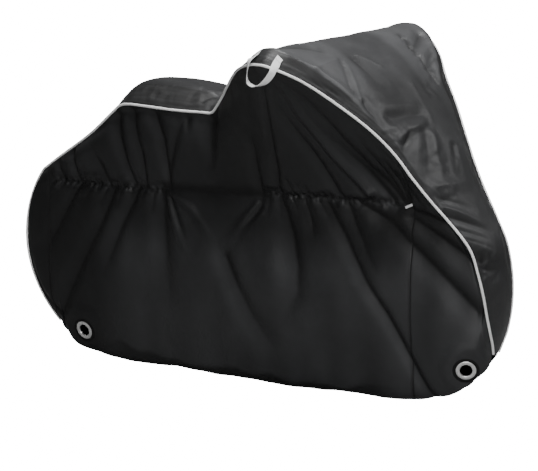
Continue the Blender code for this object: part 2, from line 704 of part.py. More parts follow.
def make_eyelet(where, x, z, side, side_name, panel, collection, cutters):
    """Metal eyelet on its round patch, and the hole for the patch in its panel."""
    centre, normal = eyelet_frame(x, z, side)
    turn = normal.to_track_quat("Z", "Y").to_matrix().to_4x4()
    seat = Matrix.Translation(centre + FRAME_SHIFT) @ turn
    patch = turned(f"eyelet_patch_{where}_{side_name}", patch_profile(), "side_cloth", collection)
    ring = turned(f"eyelet_{where}_{side_name}", eyelet_profile(), "eyelet", collection)
    patch.matrix_world = seat
    ring.matrix_world = seat
    bm = bmesh.new()
    bmesh.ops.create_cone(bm, cap_ends=True, segments=EYELET_SEGMENTS, depth=0.05,
                          radius1=PATCH_RADIUS + SEAM_GAP, radius2=PATCH_RADIUS + SEAM_GAP)
    mesh = bpy.data.meshes.new("hole")
    bm.to_mesh(mesh)
    bm.free()
    cutter = bpy.data.objects.new(f"hole_{where}_{side_name}", mesh)
    cutters.objects.link(cutter)
    cutter.matrix_world = seat
    cutter.display_type = "WIRE"
    cutter.hide_render = True
    hole = panel.modifiers.new("eyelet hole", "BOOLEAN")
    hole.object = cutter
    hole.solver = "EXACT"


def mesh_tree(made):
    """Search tree over an object's evaluated mesh, in the part frame."""
    graph = bpy.context.evaluated_depsgraph_get()
    bm = bmesh.new()
    bm.from_object(made, graph)
    tree = BVHTree.FromBMesh(bm)
    bm.free()
    return tree


def webbing(name, places, widths, collection, thickness):
    """Flat webbing along places, with the direction of its width at each."""
    columns = [[p - w * STRAP_WIDTH / 2, p + w * STRAP_WIDTH / 2] for p, w in zip(places, widths)]
    return loft(name, columns, "webbing", collection, thickness)


def make_loop(name, side, wing, collection):
    """Hanging loop: both ends sewn flat on the wing above the handlebar end."""
    tree = mesh_tree(wing)

    def height(x, depth):
        above = Vector((x, side * depth, 1.3)) + FRAME_SHIFT
        hit = tree.ray_cast(above, Vector((0.0, 0.0, -1.0)))[0]
        return (hit - FRAME_SHIFT).z

    def foot(x, depth):
        """Sewn end just clear of the cloth: its inner and outer end, and its width."""
        half = STRAP_WIDTH / 2
        middle = depth - LOOP_FOOT_LENGTH / 2
        slope = (height(x + half, middle) - height(x - half, middle)) / STRAP_WIDTH
        inner_z, outer_z = height(x, depth - LOOP_FOOT_LENGTH), height(x, depth)
        proud = 0.0
        for a in range(9):
            for b in (-1.0, -0.5, 0.0, 0.5, 1.0):
                here = height(x + b * half, depth - LOOP_FOOT_LENGTH * (1 - a / 8))
                lies_at = inner_z + (outer_z - inner_z) * a / 8 + slope * b * half
                proud = max(proud, here - lies_at)
        lift = proud + STRAP_THICK / 2 + LAY_GAP
        return ([Vector((x, side * (depth - LOOP_FOOT_LENGTH), inner_z + lift)),
                 Vector((x, side * depth, outer_z + lift))],
                Vector((1.0, 0.0, slope)).normalized())

    places, width = foot(*LOOP_FEET[0])
    widths = [width] * 2
    for x, depth, z, twist in LOOP_ROWS:
        angle = math.radians(twist)
        places.append(Vector((x, side * depth, z)))
        widths.append(Vector((-math.sin(angle), side * math.cos(angle), 0.0)))
    ends, width = foot(*LOOP_FEET[1])
    places += ends[::-1]
    widths += [-width] * 2
    return webbing(name, places, widths, collection, STRAP_THICK)


def make_tab(name, side, panel, collection):
    """Small sewn tab at the front end of the gathers."""
    tree = mesh_tree(panel)
    length, width, thick = TAB_SIZE
    x, z = TAB_PLACE
    tilt = math.radians(TAB_TILT_DEG)
    bm = bmesh.new()
    bmesh.ops.create_cube(bm, size=1.0)
    bmesh.ops.scale(bm, verts=bm.verts, vec=(length, thick, width))
    bmesh.ops.rotate(bm, verts=bm.verts, matrix=Matrix.Rotation(-tilt, 3, "Y"))
    reach = 0.0
    for a in range(-12, 13):
        for b in range(-4, 5):
            u, v = a * length / 24, b * width / 8
            across = Vector((u * math.cos(tilt) - v * math.sin(tilt), 0.0,
                             u * math.sin(tilt) + v * math.cos(tilt)))
            start = Vector((x, side * 0.5, z)) + FRAME_SHIFT + across
            hit = tree.ray_cast(start, Vector((0.0, -side, 0.0)))[0]
            reach = max(reach, abs(hit.y))
    at = Vector((x, side * (reach + thick / 2 + LAY_GAP), z)) + FRAME_SHIFT
    bmesh.ops.translate(bm, verts=bm.verts, vec=at)
    mesh = bpy.data.meshes.new(name)
    bm.to_mesh(mesh)
    bm.free()
    return place(name, mesh, "webbing", collection)


def main():
    for old in list(bpy.data.objects):
        bpy.data.objects.remove(old)
    cover = bpy.data.collections.new("bicycle_cover")
    cutters = bpy.data.collections.new("cutters")
    bpy.context.scene.collection.children.link(cover)
    bpy.context.scene.collection.children.link(cutters)

    make_strip(cover)
    for side, side_name in ((RIGHT, "right"), (LEFT, "left")):
        columns = side_columns(side)
        rear = loft(f"side_rear_{side_name}", cut_at(columns, SEAM_REAR_X, False),
                    "side_cloth", cover)
        front_part = cut_at(columns, SEAM_REAR_X, True)
        main_panel = loft(f"side_main_{side_name}", cut_at(front_part, SEAM_FRONT_X, False),
                          "side_cloth", cover)
        front = loft(f"side_front_{side_name}", cut_at(front_part, SEAM_FRONT_X, True),
                     "side_cloth", cover)
        wing = make_wing(f"wing_{side_name}", side, cover)
        make_piping(f"piping_{side_name}", side, cover)
        bpy.context.view_layer.update()
        make_loop(f"loop_{side_name}", side, wing, cover)
        make_tab(f"tab_{side_name}", side, main_panel, cover)
        for (where, x, z), panel in zip(EYELETS[side], (main_panel, front)):
            make_eyelet(where, x, z, side, side_name, panel, cover, cutters)


main()
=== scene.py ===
"""Looks of a fitted bicycle cover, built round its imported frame.

Sizes are in metres.  The cloth is worked out in a bicycle frame first (X = 0 at
the rear axle and forwards, Y to the left, Z = 0 at the lowest cloth) and then
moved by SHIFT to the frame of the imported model.
"""
import logging
import math
import random
from dataclasses import dataclass, field
from enum import Enum
from typing import Callable, Iterable, Sequence

import bmesh
import bpy
import numpy as np
from bpy.types import ID, Material, Mesh, Node, NodeSocket, NodeTree, Object
from mathutils import Matrix, Vector
from mathutils.bvhtree import BVHTree


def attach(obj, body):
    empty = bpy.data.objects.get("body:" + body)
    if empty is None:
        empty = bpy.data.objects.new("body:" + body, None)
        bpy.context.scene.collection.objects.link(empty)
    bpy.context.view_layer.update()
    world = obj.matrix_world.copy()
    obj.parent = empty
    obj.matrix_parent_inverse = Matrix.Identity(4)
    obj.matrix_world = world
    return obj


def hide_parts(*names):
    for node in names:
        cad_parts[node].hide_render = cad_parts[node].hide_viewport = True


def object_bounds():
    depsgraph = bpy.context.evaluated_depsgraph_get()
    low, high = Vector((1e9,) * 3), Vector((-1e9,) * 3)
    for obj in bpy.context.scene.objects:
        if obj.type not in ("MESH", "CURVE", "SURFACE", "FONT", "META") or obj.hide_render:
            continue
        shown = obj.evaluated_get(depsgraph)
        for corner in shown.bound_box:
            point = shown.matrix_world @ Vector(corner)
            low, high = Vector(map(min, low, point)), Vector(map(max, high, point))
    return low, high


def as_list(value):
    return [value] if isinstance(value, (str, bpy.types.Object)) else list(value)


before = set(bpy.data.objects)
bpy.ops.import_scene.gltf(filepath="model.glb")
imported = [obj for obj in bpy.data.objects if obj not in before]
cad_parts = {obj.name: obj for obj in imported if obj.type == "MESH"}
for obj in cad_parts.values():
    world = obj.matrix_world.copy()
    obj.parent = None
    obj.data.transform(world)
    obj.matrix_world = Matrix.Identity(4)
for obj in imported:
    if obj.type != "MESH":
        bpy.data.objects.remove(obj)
CAD_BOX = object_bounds()
LOG = logging.getLogger("bicycle_cover")

Grid = np.ndarray

SHIFT = np.array((-0.790, 0.0, -1.1062))
CLOTH = 0.0015               # thickness of the cloth
TYRE_RADIUS = 0.375          # cloth over the rear tyre
ARC_CENTRE_X = 0.010
ARC_LOW_DEG, ARC_HIGH_DEG = -49.5, 33.0
ARC_HALF_WIDTH, ARC_END_HALF_WIDTH, ARC_CROWN = 0.092, 0.078, 0.015
SEAM_REAR_X, SEAM_FRONT_X = -0.255, 1.178
BEAD_RADIUS = 0.0042         # round of the piping
CLOTH_REACH = 0.0047         # cut edge of the cloth to the middle of the piping
OUTWARD_REACH = 0.148        # stretch of the seam that sets the crown's direction
UNDER_BLEND = 0.036          # stretch past the hem over which that direction turns with the wheel
ARC_STEP_DEG, SPLINE_STEP = 0.75, 0.1    # places worked out on the wheel's arc and between rows
FRONT_TURN = 60              # last places of the seam, where it runs back under the front
WELD = 2e-5                  # points nearer than this are one
REST_GAP = 0.0001            # left between the cloth and what lies on it
THREAD_RISE = 0.55           # of a tape's thickness, from its middle to its stitches


class Side(Enum):
    """The two sides of the cover; the value is the sign of Y."""

    RIGHT = -1
    LEFT = 1

    @property
    def word(self) -> str:
        """Name used in pieces."""
        return self.name.lower()


class FoldKind(Enum):
    """Cross-section of a fold."""

    SOFT = "soft"            # round trough or ridge
    DRAPE = "drape"          # steep to the left of its line, long and gentle to the right
    CREASE = "crease"        # sharp line


SOFT, DRAPE, CREASE = FoldKind

# ---- the seam that carries the piping -------------------------------------------
EDGE_ROWS = (
    # x,      z,     half_width, crown, power
    (-0.288, 0.601, 0.092, 0.016, 2.0),
    (-0.215, 0.650, 0.101, 0.020, 2.0),
    (-0.074, 0.740, 0.120, 0.022, 2.0),
    (0.030, 0.822, 0.136, 0.032, 2.2),
    (0.066, 0.848, 0.142, 0.045, 2.4),
    (0.105, 0.857, 0.147, 0.064, 2.6),
    (0.185, 0.857, 0.152, 0.074, 2.8),
    (0.290, 0.855, 0.155, 0.074, 2.8),
    (0.400, 0.856, 0.150, 0.060, 2.6),
    (0.438, 0.858, 0.150, 0.044, 2.4),
    (0.470, 0.881, 0.168, 0.032, 2.4),
    (0.520, 0.922, 0.205, 0.024, 2.6),
    (0.571, 0.964, 0.250, 0.019, 3.0),
    (0.626, 1.005, 0.300, 0.018, 3.4),
    (0.692, 1.041, 0.362, 0.022, 6.0),
    (0.769, 1.067, 0.422, 0.032, 11.0),
    (0.821, 1.076, 0.447, 0.038, 16.0),
    (0.870, 1.071, 0.445, 0.038, 13.0),
    (0.949, 1.029, 0.390, 0.034, 6.5),
    (1.023, 0.962, 0.321, 0.030, 3.4),
    (1.109, 0.878, 0.254, 0.028, 2.6),
    (1.170, 0.801, 0.208, 0.026, 2.4),
    (1.220, 0.725, 0.180, 0.025, 2.2),
    (1.270, 0.657, 0.155, 0.024, 2.0),
    (1.343, 0.567, 0.121, 0.021, 2.0),
    (1.386, 0.504, 0.105, 0.019, 2.0),
    (1.409, 0.430, 0.097, 0.017, 2.0),
    (1.421, 0.367, 0.087, 0.014, 2.0),
    (1.426, 0.302, 0.073, 0.010, 2.0),
    (1.426, 0.238, 0.050, 0.006, 2.0),
    (1.422, 0.203, 0.031, 0.003, 2.0),
    (1.415, 0.165, 0.013, 0.000, 2.0),
)
TAIL_ROWS = (
    # degrees, half_width, crown of the middle strip where it is tucked in under the rear wheel
    (-66.0, 0.0681, 0.006), (-60.5, 0.0713, 0.009), (-55.0, 0.0734, 0.012),
    (ARC_LOW_DEG, ARC_END_HALF_WIDTH, ARC_CROWN),
)
STRIP_ROWS = (
    # x,    half_width of the middle strip between the wings
    (0.40, 0.150), (0.55, 0.148), (0.80, 0.125), (0.95, 0.146),
    (1.03, 0.188), (1.11, 0.226), (1.20, 0.226),
)

# ---- cross-sections of a side -----------------------------------------------------
SIDE_ROWS = (
    # x,     shoulder, waist, belly, foot,  mouth, floor, turn
    (-0.365, 0.094, 0.094, 0.094, 0.094, 0.092, 0.375, 0.0),
    (-0.305, 0.104, 0.104, 0.106, 0.100, 0.086, 0.171, 0.0),
    (-0.234, 0.116, 0.112, 0.115, 0.106, 0.078, 0.082, 0.0),
    (-0.172, 0.124, 0.118, 0.123, 0.113, 0.072, 0.035, 0.8),
    (-0.055, 0.144, 0.126, 0.132, 0.118, 0.070, 0.007, 1.0),
    (0.060, 0.152, 0.132, 0.140, 0.122, 0.068, 0.000, 1.0),
    (0.250, 0.164, 0.142, 0.154, 0.130, 0.068, 0.000, 1.0),
    (0.450, 0.166, 0.148, 0.172, 0.140, 0.070, 0.000, 1.0),
    (0.600, 0.236, 0.150, 0.178, 0.142, 0.070, 0.000, 1.0),
    (0.800, 0.342, 0.150, 0.166, 0.136, 0.068, 0.000, 1.0),
    (1.000, 0.272, 0.140, 0.146, 0.126, 0.065, 0.005, 1.0),
    (1.178, 0.166, 0.124, 0.128, 0.108, 0.058, 0.010, 1.0),
)
FRONT_ROWS = {
    Side.RIGHT: (
        (1.261, 0.138, 0.120, 0.122, 0.108, 0.066, 0.028, 1.0),
        (1.309, 0.124, 0.115, 0.116, 0.102, 0.070, 0.043, 1.0),
        (1.368, 0.110, 0.106, 0.106, 0.090, 0.070, 0.079, 0.8),
        (1.396, 0.100, 0.097, 0.090, 0.072, 0.056, 0.110, 0.5),
        (1.411, 0.090, 0.086, 0.068, 0.044, 0.030, 0.140, 0.2),
        (1.415, 0.080, 0.076, 0.048, 0.022, 0.012, 0.165, 0.0),
    ),
    Side.LEFT: (
        (1.236, 0.144, 0.120, 0.118, 0.090, 0.046, 0.022, 1.0),
        (1.303, 0.124, 0.113, 0.102, 0.066, 0.032, 0.055, 1.0),
        (1.343, 0.112, 0.106, 0.088, 0.048, 0.023, 0.091, 0.8),
        (1.383, 0.098, 0.092, 0.068, 0.030, 0.015, 0.128, 0.3),
        (1.415, 0.080, 0.076, 0.052, 0.020, 0.012, 0.165, 0.0),
    ),
}
SHOULDER, WAIST, BELLY, FOOT, MOUTH, FLOOR, TURN = range(1, 8)
WAIST_Z, WAIST_RISE = 0.575, 0.042
SHOULDER_AT, FOOT_HEIGHT, TUCK_HEIGHT, SHORT_COLUMN = 0.30, 0.055, 0.007, 0.22
ELASTIC_ROWS = (
    # x,    height of the elastic
    (-0.30, 0.566), (-0.234, 0.568), (0.252, 0.585), (0.45, 0.600), (0.633, 0.615),
    (0.90, 0.621), (1.18, 0.628), (1.45, 0.640),
)


@dataclass(frozen=True)
class Fold:
    """One fold or crease, along a line on the cloth.

    path holds places on the cloth in metres; width is the half width at its first and
    last place; height is outwards, so a negative one is a trough.  fade is how much of
    the height goes towards the last place, or towards the first where it is negative.
    """

    path: tuple[tuple[float, float], ...]
    width: tuple[float, float]
    height: float
    kind: FoldKind = SOFT
    fade: float = 1.0

    def _near(self, u: Grid, v: Grid) -> tuple[Grid, Grid, Grid]:
        """Where places lie beside the path.

        Args:
            u: first place, any shape.
            v: second place, same shape.

        Returns:
            Share of the path's length, distance from it, and side of it, from -1 on
            the left to 1 on the right.
        """
        steps = np.diff(np.array(self.path), axis=0)
        lengths = np.hypot(steps[:, 0], steps[:, 1])
        before = np.cumsum(lengths) - lengths
        share, away, side = np.zeros(u.shape), np.full(u.shape, 9.0), np.zeros(u.shape)
        for start, step, length, done in zip(self.path, steps, lengths, before):
            du, dv = u - start[0], v - start[1]
            t = np.clip((du * step[0] + dv * step[1]) / length ** 2, 0.0, 1.0)
            far = np.hypot(du - t * step[0], dv - t * step[1])
            beside = (du * step[1] - dv * step[0]) / length
            nearer = far < away
            share = np.where(nearer, (done + t * length) / lengths.sum(), share)
            side = np.where(nearer, beside / np.maximum(far, 1e-6), side)
            away = np.where(nearer, far, away)
        return share, away, side

    def _strength(self, share: Grid) -> Grid:
        """What is left of the height along the path."""
        return 1 - abs(self.fade) * (share if self.fade > 0 else 1 - share) ** 2

    def lift(self, u: Grid, v: Grid) -> Grid:
        """How far this fold moves the cloth outwards.

        Args:
            u: first place, any shape.
            v: second place, same shape.

        Returns:
            Moves in metres.
        """
        share, away, side = self._near(u, v)
        width = self.width[0] + (self.width[1] - self.width[0]) * share
        if self.kind is DRAPE:
            width = width * (1 + 0.9 * (1 + side))
            shape = np.exp(-(np.hypot(away, 0.002) / width) ** 1.15)
        elif self.kind is CREASE:
            shape = np.exp(-(away / width) ** 0.95)
        else:
            shape = np.exp(-(away / width) ** 1.35)
            shape -= 0.30 * bell(away / width, 0.8, 1.9)
        return self.height * shape * self._strength(share)

    def shade(self, u: Grid, v: Grid) -> Grid:
        """Painted shade in the trough of this fold, and a painted highlight beside a drape.

        Args:
            u: first place, any shape.
            v: second place, same shape.

        Returns:
            1 where the painted shade is darkest, and below 0 where a painted highlight lies.
        """
        if self.height > 0:
            return np.zeros(u.shape)
        share, away, side = self._near(u, v)
        away = away / (self.width[0] + (self.width[1] - self.width[0]) * share)
        # painted shade in the trough, wider on the steep side
        painted_shade = bell(away, 1.0 - 0.6 * side)
        if self.kind is DRAPE:
            # painted highlight on the gentle, lit slope of a drape
            painted_shade -= 0.62 * np.clip(side, 0, 1) * bell(away, 1.4, 2.4)
        return min(-self.height / 0.012, 1.0) * painted_shade * self._strength(share)


def smoothstep(t: Grid) -> Grid:
    """Smooth rise from 0 to 1 over t from 0 to 1."""
    t = np.clip(t, 0.0, 1.0)
    return t * t * (3 - 2 * t)


def between(x: Grid, start: float, rise: float, end: float, fall: float) -> Grid:
    """1 from start + rise to end - fall, and smoothly down to 0 at start and end."""
    return smoothstep((x - start) / rise) * smoothstep((end - x) / fall)


def bell(x: Grid, width: float | Grid, middle: float = 0.0) -> Grid:
    """Round hump of height 1 at the middle."""
    return np.exp(-((x - middle) / width) ** 2)


def unit(a: Grid) -> Grid:
    """Vectors of length one."""
    return a / np.maximum(np.linalg.norm(a, axis=-1, keepdims=True), 1e-12)


class Rows:
    """A table read as smooth curves over its first column."""

    def __init__(self, rows: Sequence[Sequence[float]]) -> None:
        """Args:
            rows: the table's rows, in rising order of their first number.
        """
        self.table = np.array(rows, float)

    def at(self, column: int, x: Grid) -> Grid:
        """Smooth value of a column at x.

        Args:
            column: number of the column.
            x: places, an array of any shape.

        Returns:
            The values, in the shape of x.
        """
        keys, values = self.table[:, 0], self.table[:, column]
        last = len(keys) - 1
        slopes = np.empty(len(keys))
        slopes[1:-1] = (values[2:] - values[:-2]) / (keys[2:] - keys[:-2])
        slopes[0] = (values[1] - values[0]) / (keys[1] - keys[0])
        slopes[last] = (values[last] - values[last - 1]) / (keys[last] - keys[last - 1])
        x = np.clip(x, keys[0], keys[last])
        i = np.clip(np.searchsorted(keys, x, side="right") - 1, 0, last - 1)
        span = keys[i + 1] - keys[i]
        t = (x - keys[i]) / span
        return ((2 * t**3 - 3 * t**2 + 1) * values[i] + (t**3 - 2 * t**2 + t) * span * slopes[i]
                + (3 * t**2 - 2 * t**3) * values[i + 1] + (t**3 - t**2) * span * slopes[i + 1])


def through(knots: Grid, v: Grid) -> Grid:
    """Smooth curves through knots.

    Args:
        knots: (n, k, 3) points of n curves.
        v: (m,) places along each, 0 at the first knot and k - 1 at the last.

    Returns:
        (n, m, 3) points.
    """
    first = 2 * knots[:, :1] - knots[:, 1:2]
    final = 2 * knots[:, -1:] - knots[:, -2:-1]
    padded = np.concatenate((first, knots, final), axis=1)
    i = np.clip(np.floor(v).astype(int), 0, knots.shape[1] - 2)
    t = (v - i)[None, :, None]
    p0, p1, p2, p3 = (padded[:, i + k] for k in range(4))
    return 0.5 * (2 * p1 + (p2 - p0) * t + (2 * p0 - 5 * p1 + 4 * p2 - p3) * t**2
                  + (3 * p1 - p0 - 3 * p2 + p3) * t**3)


class EdgeSeam:
    """The seam between top and sides, from the rear hem to the front hem."""

    X, Z, HALF_WIDTH, CROWN, POWER = range(5)

    def __init__(self) -> None:
        """Works the seam out finely along its length."""
        tail = np.array(TAIL_ROWS)
        under = np.arange(tail[0, 0], ARC_LOW_DEG - 0.01, ARC_STEP_DEG)
        behind = np.arange(ARC_LOW_DEG, ARC_HIGH_DEG + 0.01, ARC_STEP_DEG)
        tuck = smoothstep(behind / ARC_LOW_DEG) * (ARC_HALF_WIDTH - ARC_END_HALF_WIDTH)
        angle = np.radians(np.concatenate((under, behind)))
        arc = np.stack((
            ARC_CENTRE_X - TYRE_RADIUS * np.cos(angle),
            TYRE_RADIUS * (1 + np.sin(angle)),
            np.append(np.interp(under, tail[:, 0], tail[:, 1]), ARC_HALF_WIDTH - tuck),
            np.append(np.interp(under, tail[:, 0], tail[:, 2]), np.full(len(behind), ARC_CROWN)),
            np.full(len(angle), 2.0)), axis=1)
        knots = np.array(EDGE_ROWS)[None]
        spline = through(knots, np.arange(0, len(EDGE_ROWS) - 1 + 1e-9, SPLINE_STEP))[0]
        self.rows = np.concatenate((arc, spline))
        steps = np.linalg.norm(np.diff(self.rows[:, :3], axis=0), axis=1)
        self.run = np.concatenate(([0.0], np.cumsum(steps)))
        self.run -= self.run[len(under)]
        self.tail, self.length = float(self.run[0]), float(self.run[-1])
        self.first_high = int(np.argmin(self.rows[:, self.X]))
        self.rearmost = float(self.run[self.first_high])

    def at(self, s: Grid) -> Grid:
        """Rows at lengths s along the seam, as (..., 5)."""
        return np.stack([np.interp(s, self.run, self.rows[:, k]) for k in range(5)], axis=-1)

    def point(self, s: Grid, side: Side) -> Grid:
        """Points of the seam on one side, as (..., 3)."""
        row = self.at(s)
        return np.stack((row[..., self.X], side.value * row[..., self.HALF_WIDTH],
                         row[..., self.Z]), axis=-1)

    def half_width(self, s: Grid) -> Grid:
        """Half widths of the top at lengths s."""
        return self.at(s)[..., self.HALF_WIDTH]

    def direction(self, s: Grid, side: Side, reach: float = 0.012) -> Grid:
        """Directions along the seam on one side."""
        ahead, behind = (np.clip(s + d, 0, self.length) for d in (reach, -reach))
        return unit(self.point(ahead, side) - self.point(behind, side))

    def outward(self, s: Grid) -> Grid:
        """Directions in which the top is crowned, square to a wide stretch of the seam.

        Args:
            s: lengths along the seam.

        Returns:
            (..., 3) directions.
        """
        ahead, behind = (self.at(np.clip(s + d, 0, self.length))
                         for d in (OUTWARD_REACH, -OUTWARD_REACH))
        dx, dz = ((ahead - behind)[..., k] for k in (self.X, self.Z))
        under = np.minimum(s, 0.0)
        turn = (under - OUTWARD_REACH / 2 * np.clip(-under / UNDER_BLEND, 0, 1)) / TYRE_RADIUS
        out = np.stack((-dz * np.cos(turn) + dx * np.sin(turn), np.zeros_like(dx),
                        dx * np.cos(turn) + dz * np.sin(turn)), axis=-1)
        return unit(out)

    def run_at_x(self, x: float) -> float:
        """Length along the seam at which its upper run reaches x."""
        upper = slice(self.first_high, -FRONT_TURN)
        return float(np.interp(x, self.rows[upper, self.X], self.run[upper]))

    def height(self, x: Grid) -> Grid:
        """Height of the upper run at x."""
        upper = self.rows[self.first_high:]
        return np.interp(x, upper[:, self.X], upper[:, self.Z])

    def top_edge(self, s: Grid, side: Side, reach: float) -> Grid:
        """Cut edge of the side cloth, a reach below the middle of the piping.

        Args:
            s: (n,) lengths along the seam.
            side: side of the cover.
            reach: distance from the middle of the piping.

        Returns:
            (n, 3) points.
        """
        centre = self.point(s, side)
        along = self.direction(s, side)
        inward = unit(np.stack((along[:, 2], np.zeros(len(s)), -along[:, 0]), axis=1))
        drop = SECTIONS[side].shoulder_slope(centre)
        inward[:, 1] += side.value * drop * np.abs(inward[:, 2])
        inward = unit(inward - along * np.sum(inward * along, axis=1, keepdims=True))
        return centre + inward * reach


@dataclass
class SideSection:
    """Cross-sections of one side, from the seam down to the hem."""

    side: Side
    KNOTS = 7

    def __post_init__(self) -> None:
        """Reads the tables of its side."""
        self.rows = Rows(SIDE_ROWS + FRONT_ROWS[self.side])

    def shoulder_slope(self, centre: Grid) -> Grid:
        """How fast the side spreads outwards just below the seam, at (n, 3) points."""
        fall = SHOULDER_AT * np.maximum(centre[:, 2] - self.waist(centre[:, 0]), 0.02)
        spread = self.rows.at(SHOULDER, centre[:, 0]) - np.abs(centre[:, 1])
        return np.clip(spread / np.hypot(spread, fall), -0.9, 0.9)

    @staticmethod
    def waist(x: Grid) -> Grid:
        """Height of the elastic line at x."""
        return WAIST_Z + WAIST_RISE * x

    @staticmethod
    def hem_x(top: Grid) -> Grid:
        """Where the columns of cloth that start at top (n, 3) meet the hem."""
        seam_z = float(EDGE.height(np.array(SEAM_FRONT_X)))
        tip_x, tip_z = EDGE.rows[-1, EdgeSeam.X], EDGE.rows[-1, EdgeSeam.Z]
        share = np.clip((seam_z - top[:, 2]) / (seam_z - tip_z), 0, 1)
        return np.where(top[:, 0] <= SEAM_FRONT_X, top[:, 0],
                        SEAM_FRONT_X + (tip_x - SEAM_FRONT_X) * share)

    def knots(self, top: Grid, low: Grid | None = None) -> Grid:
        """Knots of the cross-sections that start at top.

        Args:
            top: (n, 3) upper ends.
            low: (n, 3) lower ends on the seam under the wheel, with nan where the
                column runs to the hem.

        Returns:
            (n, 7, 3) knots: edge, shoulder, waist, belly, foot, lowest, hem.
        """
        at = self.rows.at
        low_x = self.hem_x(top)
        free = np.ones(len(top), bool) if low is None else np.isnan(low[:, 0])
        if low is not None:
            low_x = np.where(free, low_x, np.nan_to_num(low[:, 0]))
        floor, turn, mouth = at(FLOOR, low_x), at(TURN, low_x), at(MOUTH, low_x)
        if low is not None:
            floor = np.where(free, floor, np.nan_to_num(low[:, 2]))
            turn = np.where(free, turn, 0.0)
            mouth = np.where(free, mouth, np.abs(np.nan_to_num(low[:, 1])))
        tall = np.maximum(top[:, 2] - floor, 1e-4)
        waist_z = np.minimum(self.waist(top[:, 0]), floor + 0.8 * tall)
        foot_z = floor + np.minimum(FOOT_HEIGHT, 0.18 * tall)
        full = smoothstep(tall / SHORT_COLUMN)
        sign, edge_y = self.side.value, np.abs(top[:, 1])

        def knot(column: int, z: Grid) -> Grid:
            """Places one knot of each cross-section.

            Args:
                column: column of the table with its depth.
                z: its heights.

            Returns:
                (n, 3) knots.
            """
            share = (top[:, 2] - z) / tall
            x = top[:, 0] + (low_x - top[:, 0]) * share
            straight = edge_y + (mouth - edge_y) * share
            depth = straight + (at(column, x) - straight) * full
            return np.stack((x, sign * depth, z), axis=1)

        foot = knot(FOOT, foot_z)
        lowest_y = sign * (mouth + turn * 0.6 * (np.abs(foot[:, 1]) - mouth))
        lowest_z = floor + (1 - turn) * 0.35 * (foot_z - floor)
        return np.stack((
            top,
            knot(SHOULDER, top[:, 2] - SHOULDER_AT * (top[:, 2] - waist_z)),
            knot(WAIST, waist_z),
            knot(BELLY, (waist_z + floor) / 2),
            foot,
            np.stack((low_x, lowest_y, lowest_z), axis=1),
            np.stack((low_x, sign * mouth, floor + turn * TUCK_HEIGHT), axis=1),
        ), axis=1)


EDGE = EdgeSeam()
ELASTIC = Rows(ELASTIC_ROWS)
SECTIONS = {side: SideSection(side) for side in Side}


class Ripple:
    """Repeatable gradient noise over a plane, for crumpled cloth."""

    def __init__(self, seed: int) -> None:
        """Args:
            seed: picks the pattern.
        """
        dice = np.random.RandomState(seed)
        angles = dice.uniform(0, 2 * math.pi, 4096)
        self.slopes = np.stack((np.cos(angles), np.sin(angles)), axis=1)
        self.order = dice.permutation(4096)

    def _corner(self, i: Grid, j: Grid, du: Grid, dv: Grid) -> Grid:
        """Share of one corner of the lattice."""
        slope = self.slopes[self.order[(i + self.order[j & 4095]) & 4095]]
        return slope[..., 0] * du + slope[..., 1] * dv

    def at(self, u: Grid, v: Grid) -> Grid:
        """Smooth noise of about -0.7 to 0.7 with a wave of about 1.

        Args:
            u: first place, any shape.
            v: second place, same shape.

        Returns:
            The noise, in the same shape.
        """
        i, j = np.floor(u).astype(int), np.floor(v).astype(int)
        du, dv = u - i, v - j
        wu, wv = (t * t * t * (t * (t * 6 - 15) + 10) for t in (du, dv))
        low = self._corner(i, j, du, dv) * (1 - wu) + self._corner(i + 1, j, du - 1, dv) * wu
        high = (self._corner(i, j + 1, du, dv - 1) * (1 - wu)
                + self._corner(i + 1, j + 1, du - 1, dv - 1) * wu)
        return low * (1 - wv) + high * wv


@dataclass(frozen=True)
class Wave:
    """Soft rolls that the folds lie on."""

    depth: float
    length: tuple[float, float]          # of a roll, along each direction of the cloth
    shift: tuple[float, float] = (0.0, 0.0)

    def lift(self, noise: Ripple, u: Grid, v: Grid) -> Grid:
        """How far the rolls move the cloth outwards at places (u, v)."""
        return self.depth * noise.at(u / self.length[0] + self.shift[0],
                                     v / self.length[1] + self.shift[1])


SIDE_WAVES = (Wave(0.0100, (0.20, 0.22)), Wave(0.0060, (0.10, 0.36), (30.0, 0.0)),
              Wave(0.0016, (0.070, 0.10), (9.0, 3.0)))
TOP_WAVES = (Wave(0.0040, (0.19, 0.14)), Wave(0.0016, (0.055, 0.060), (3.0, 0.0)))


# ---- finishes ---------------------------------------------------------------------
def link(tree: NodeTree, *pairs: tuple[NodeSocket, NodeSocket]) -> None:
    """Links pairs of sockets (from, to)."""
    for a, b in pairs:
        tree.links.new(a, b)


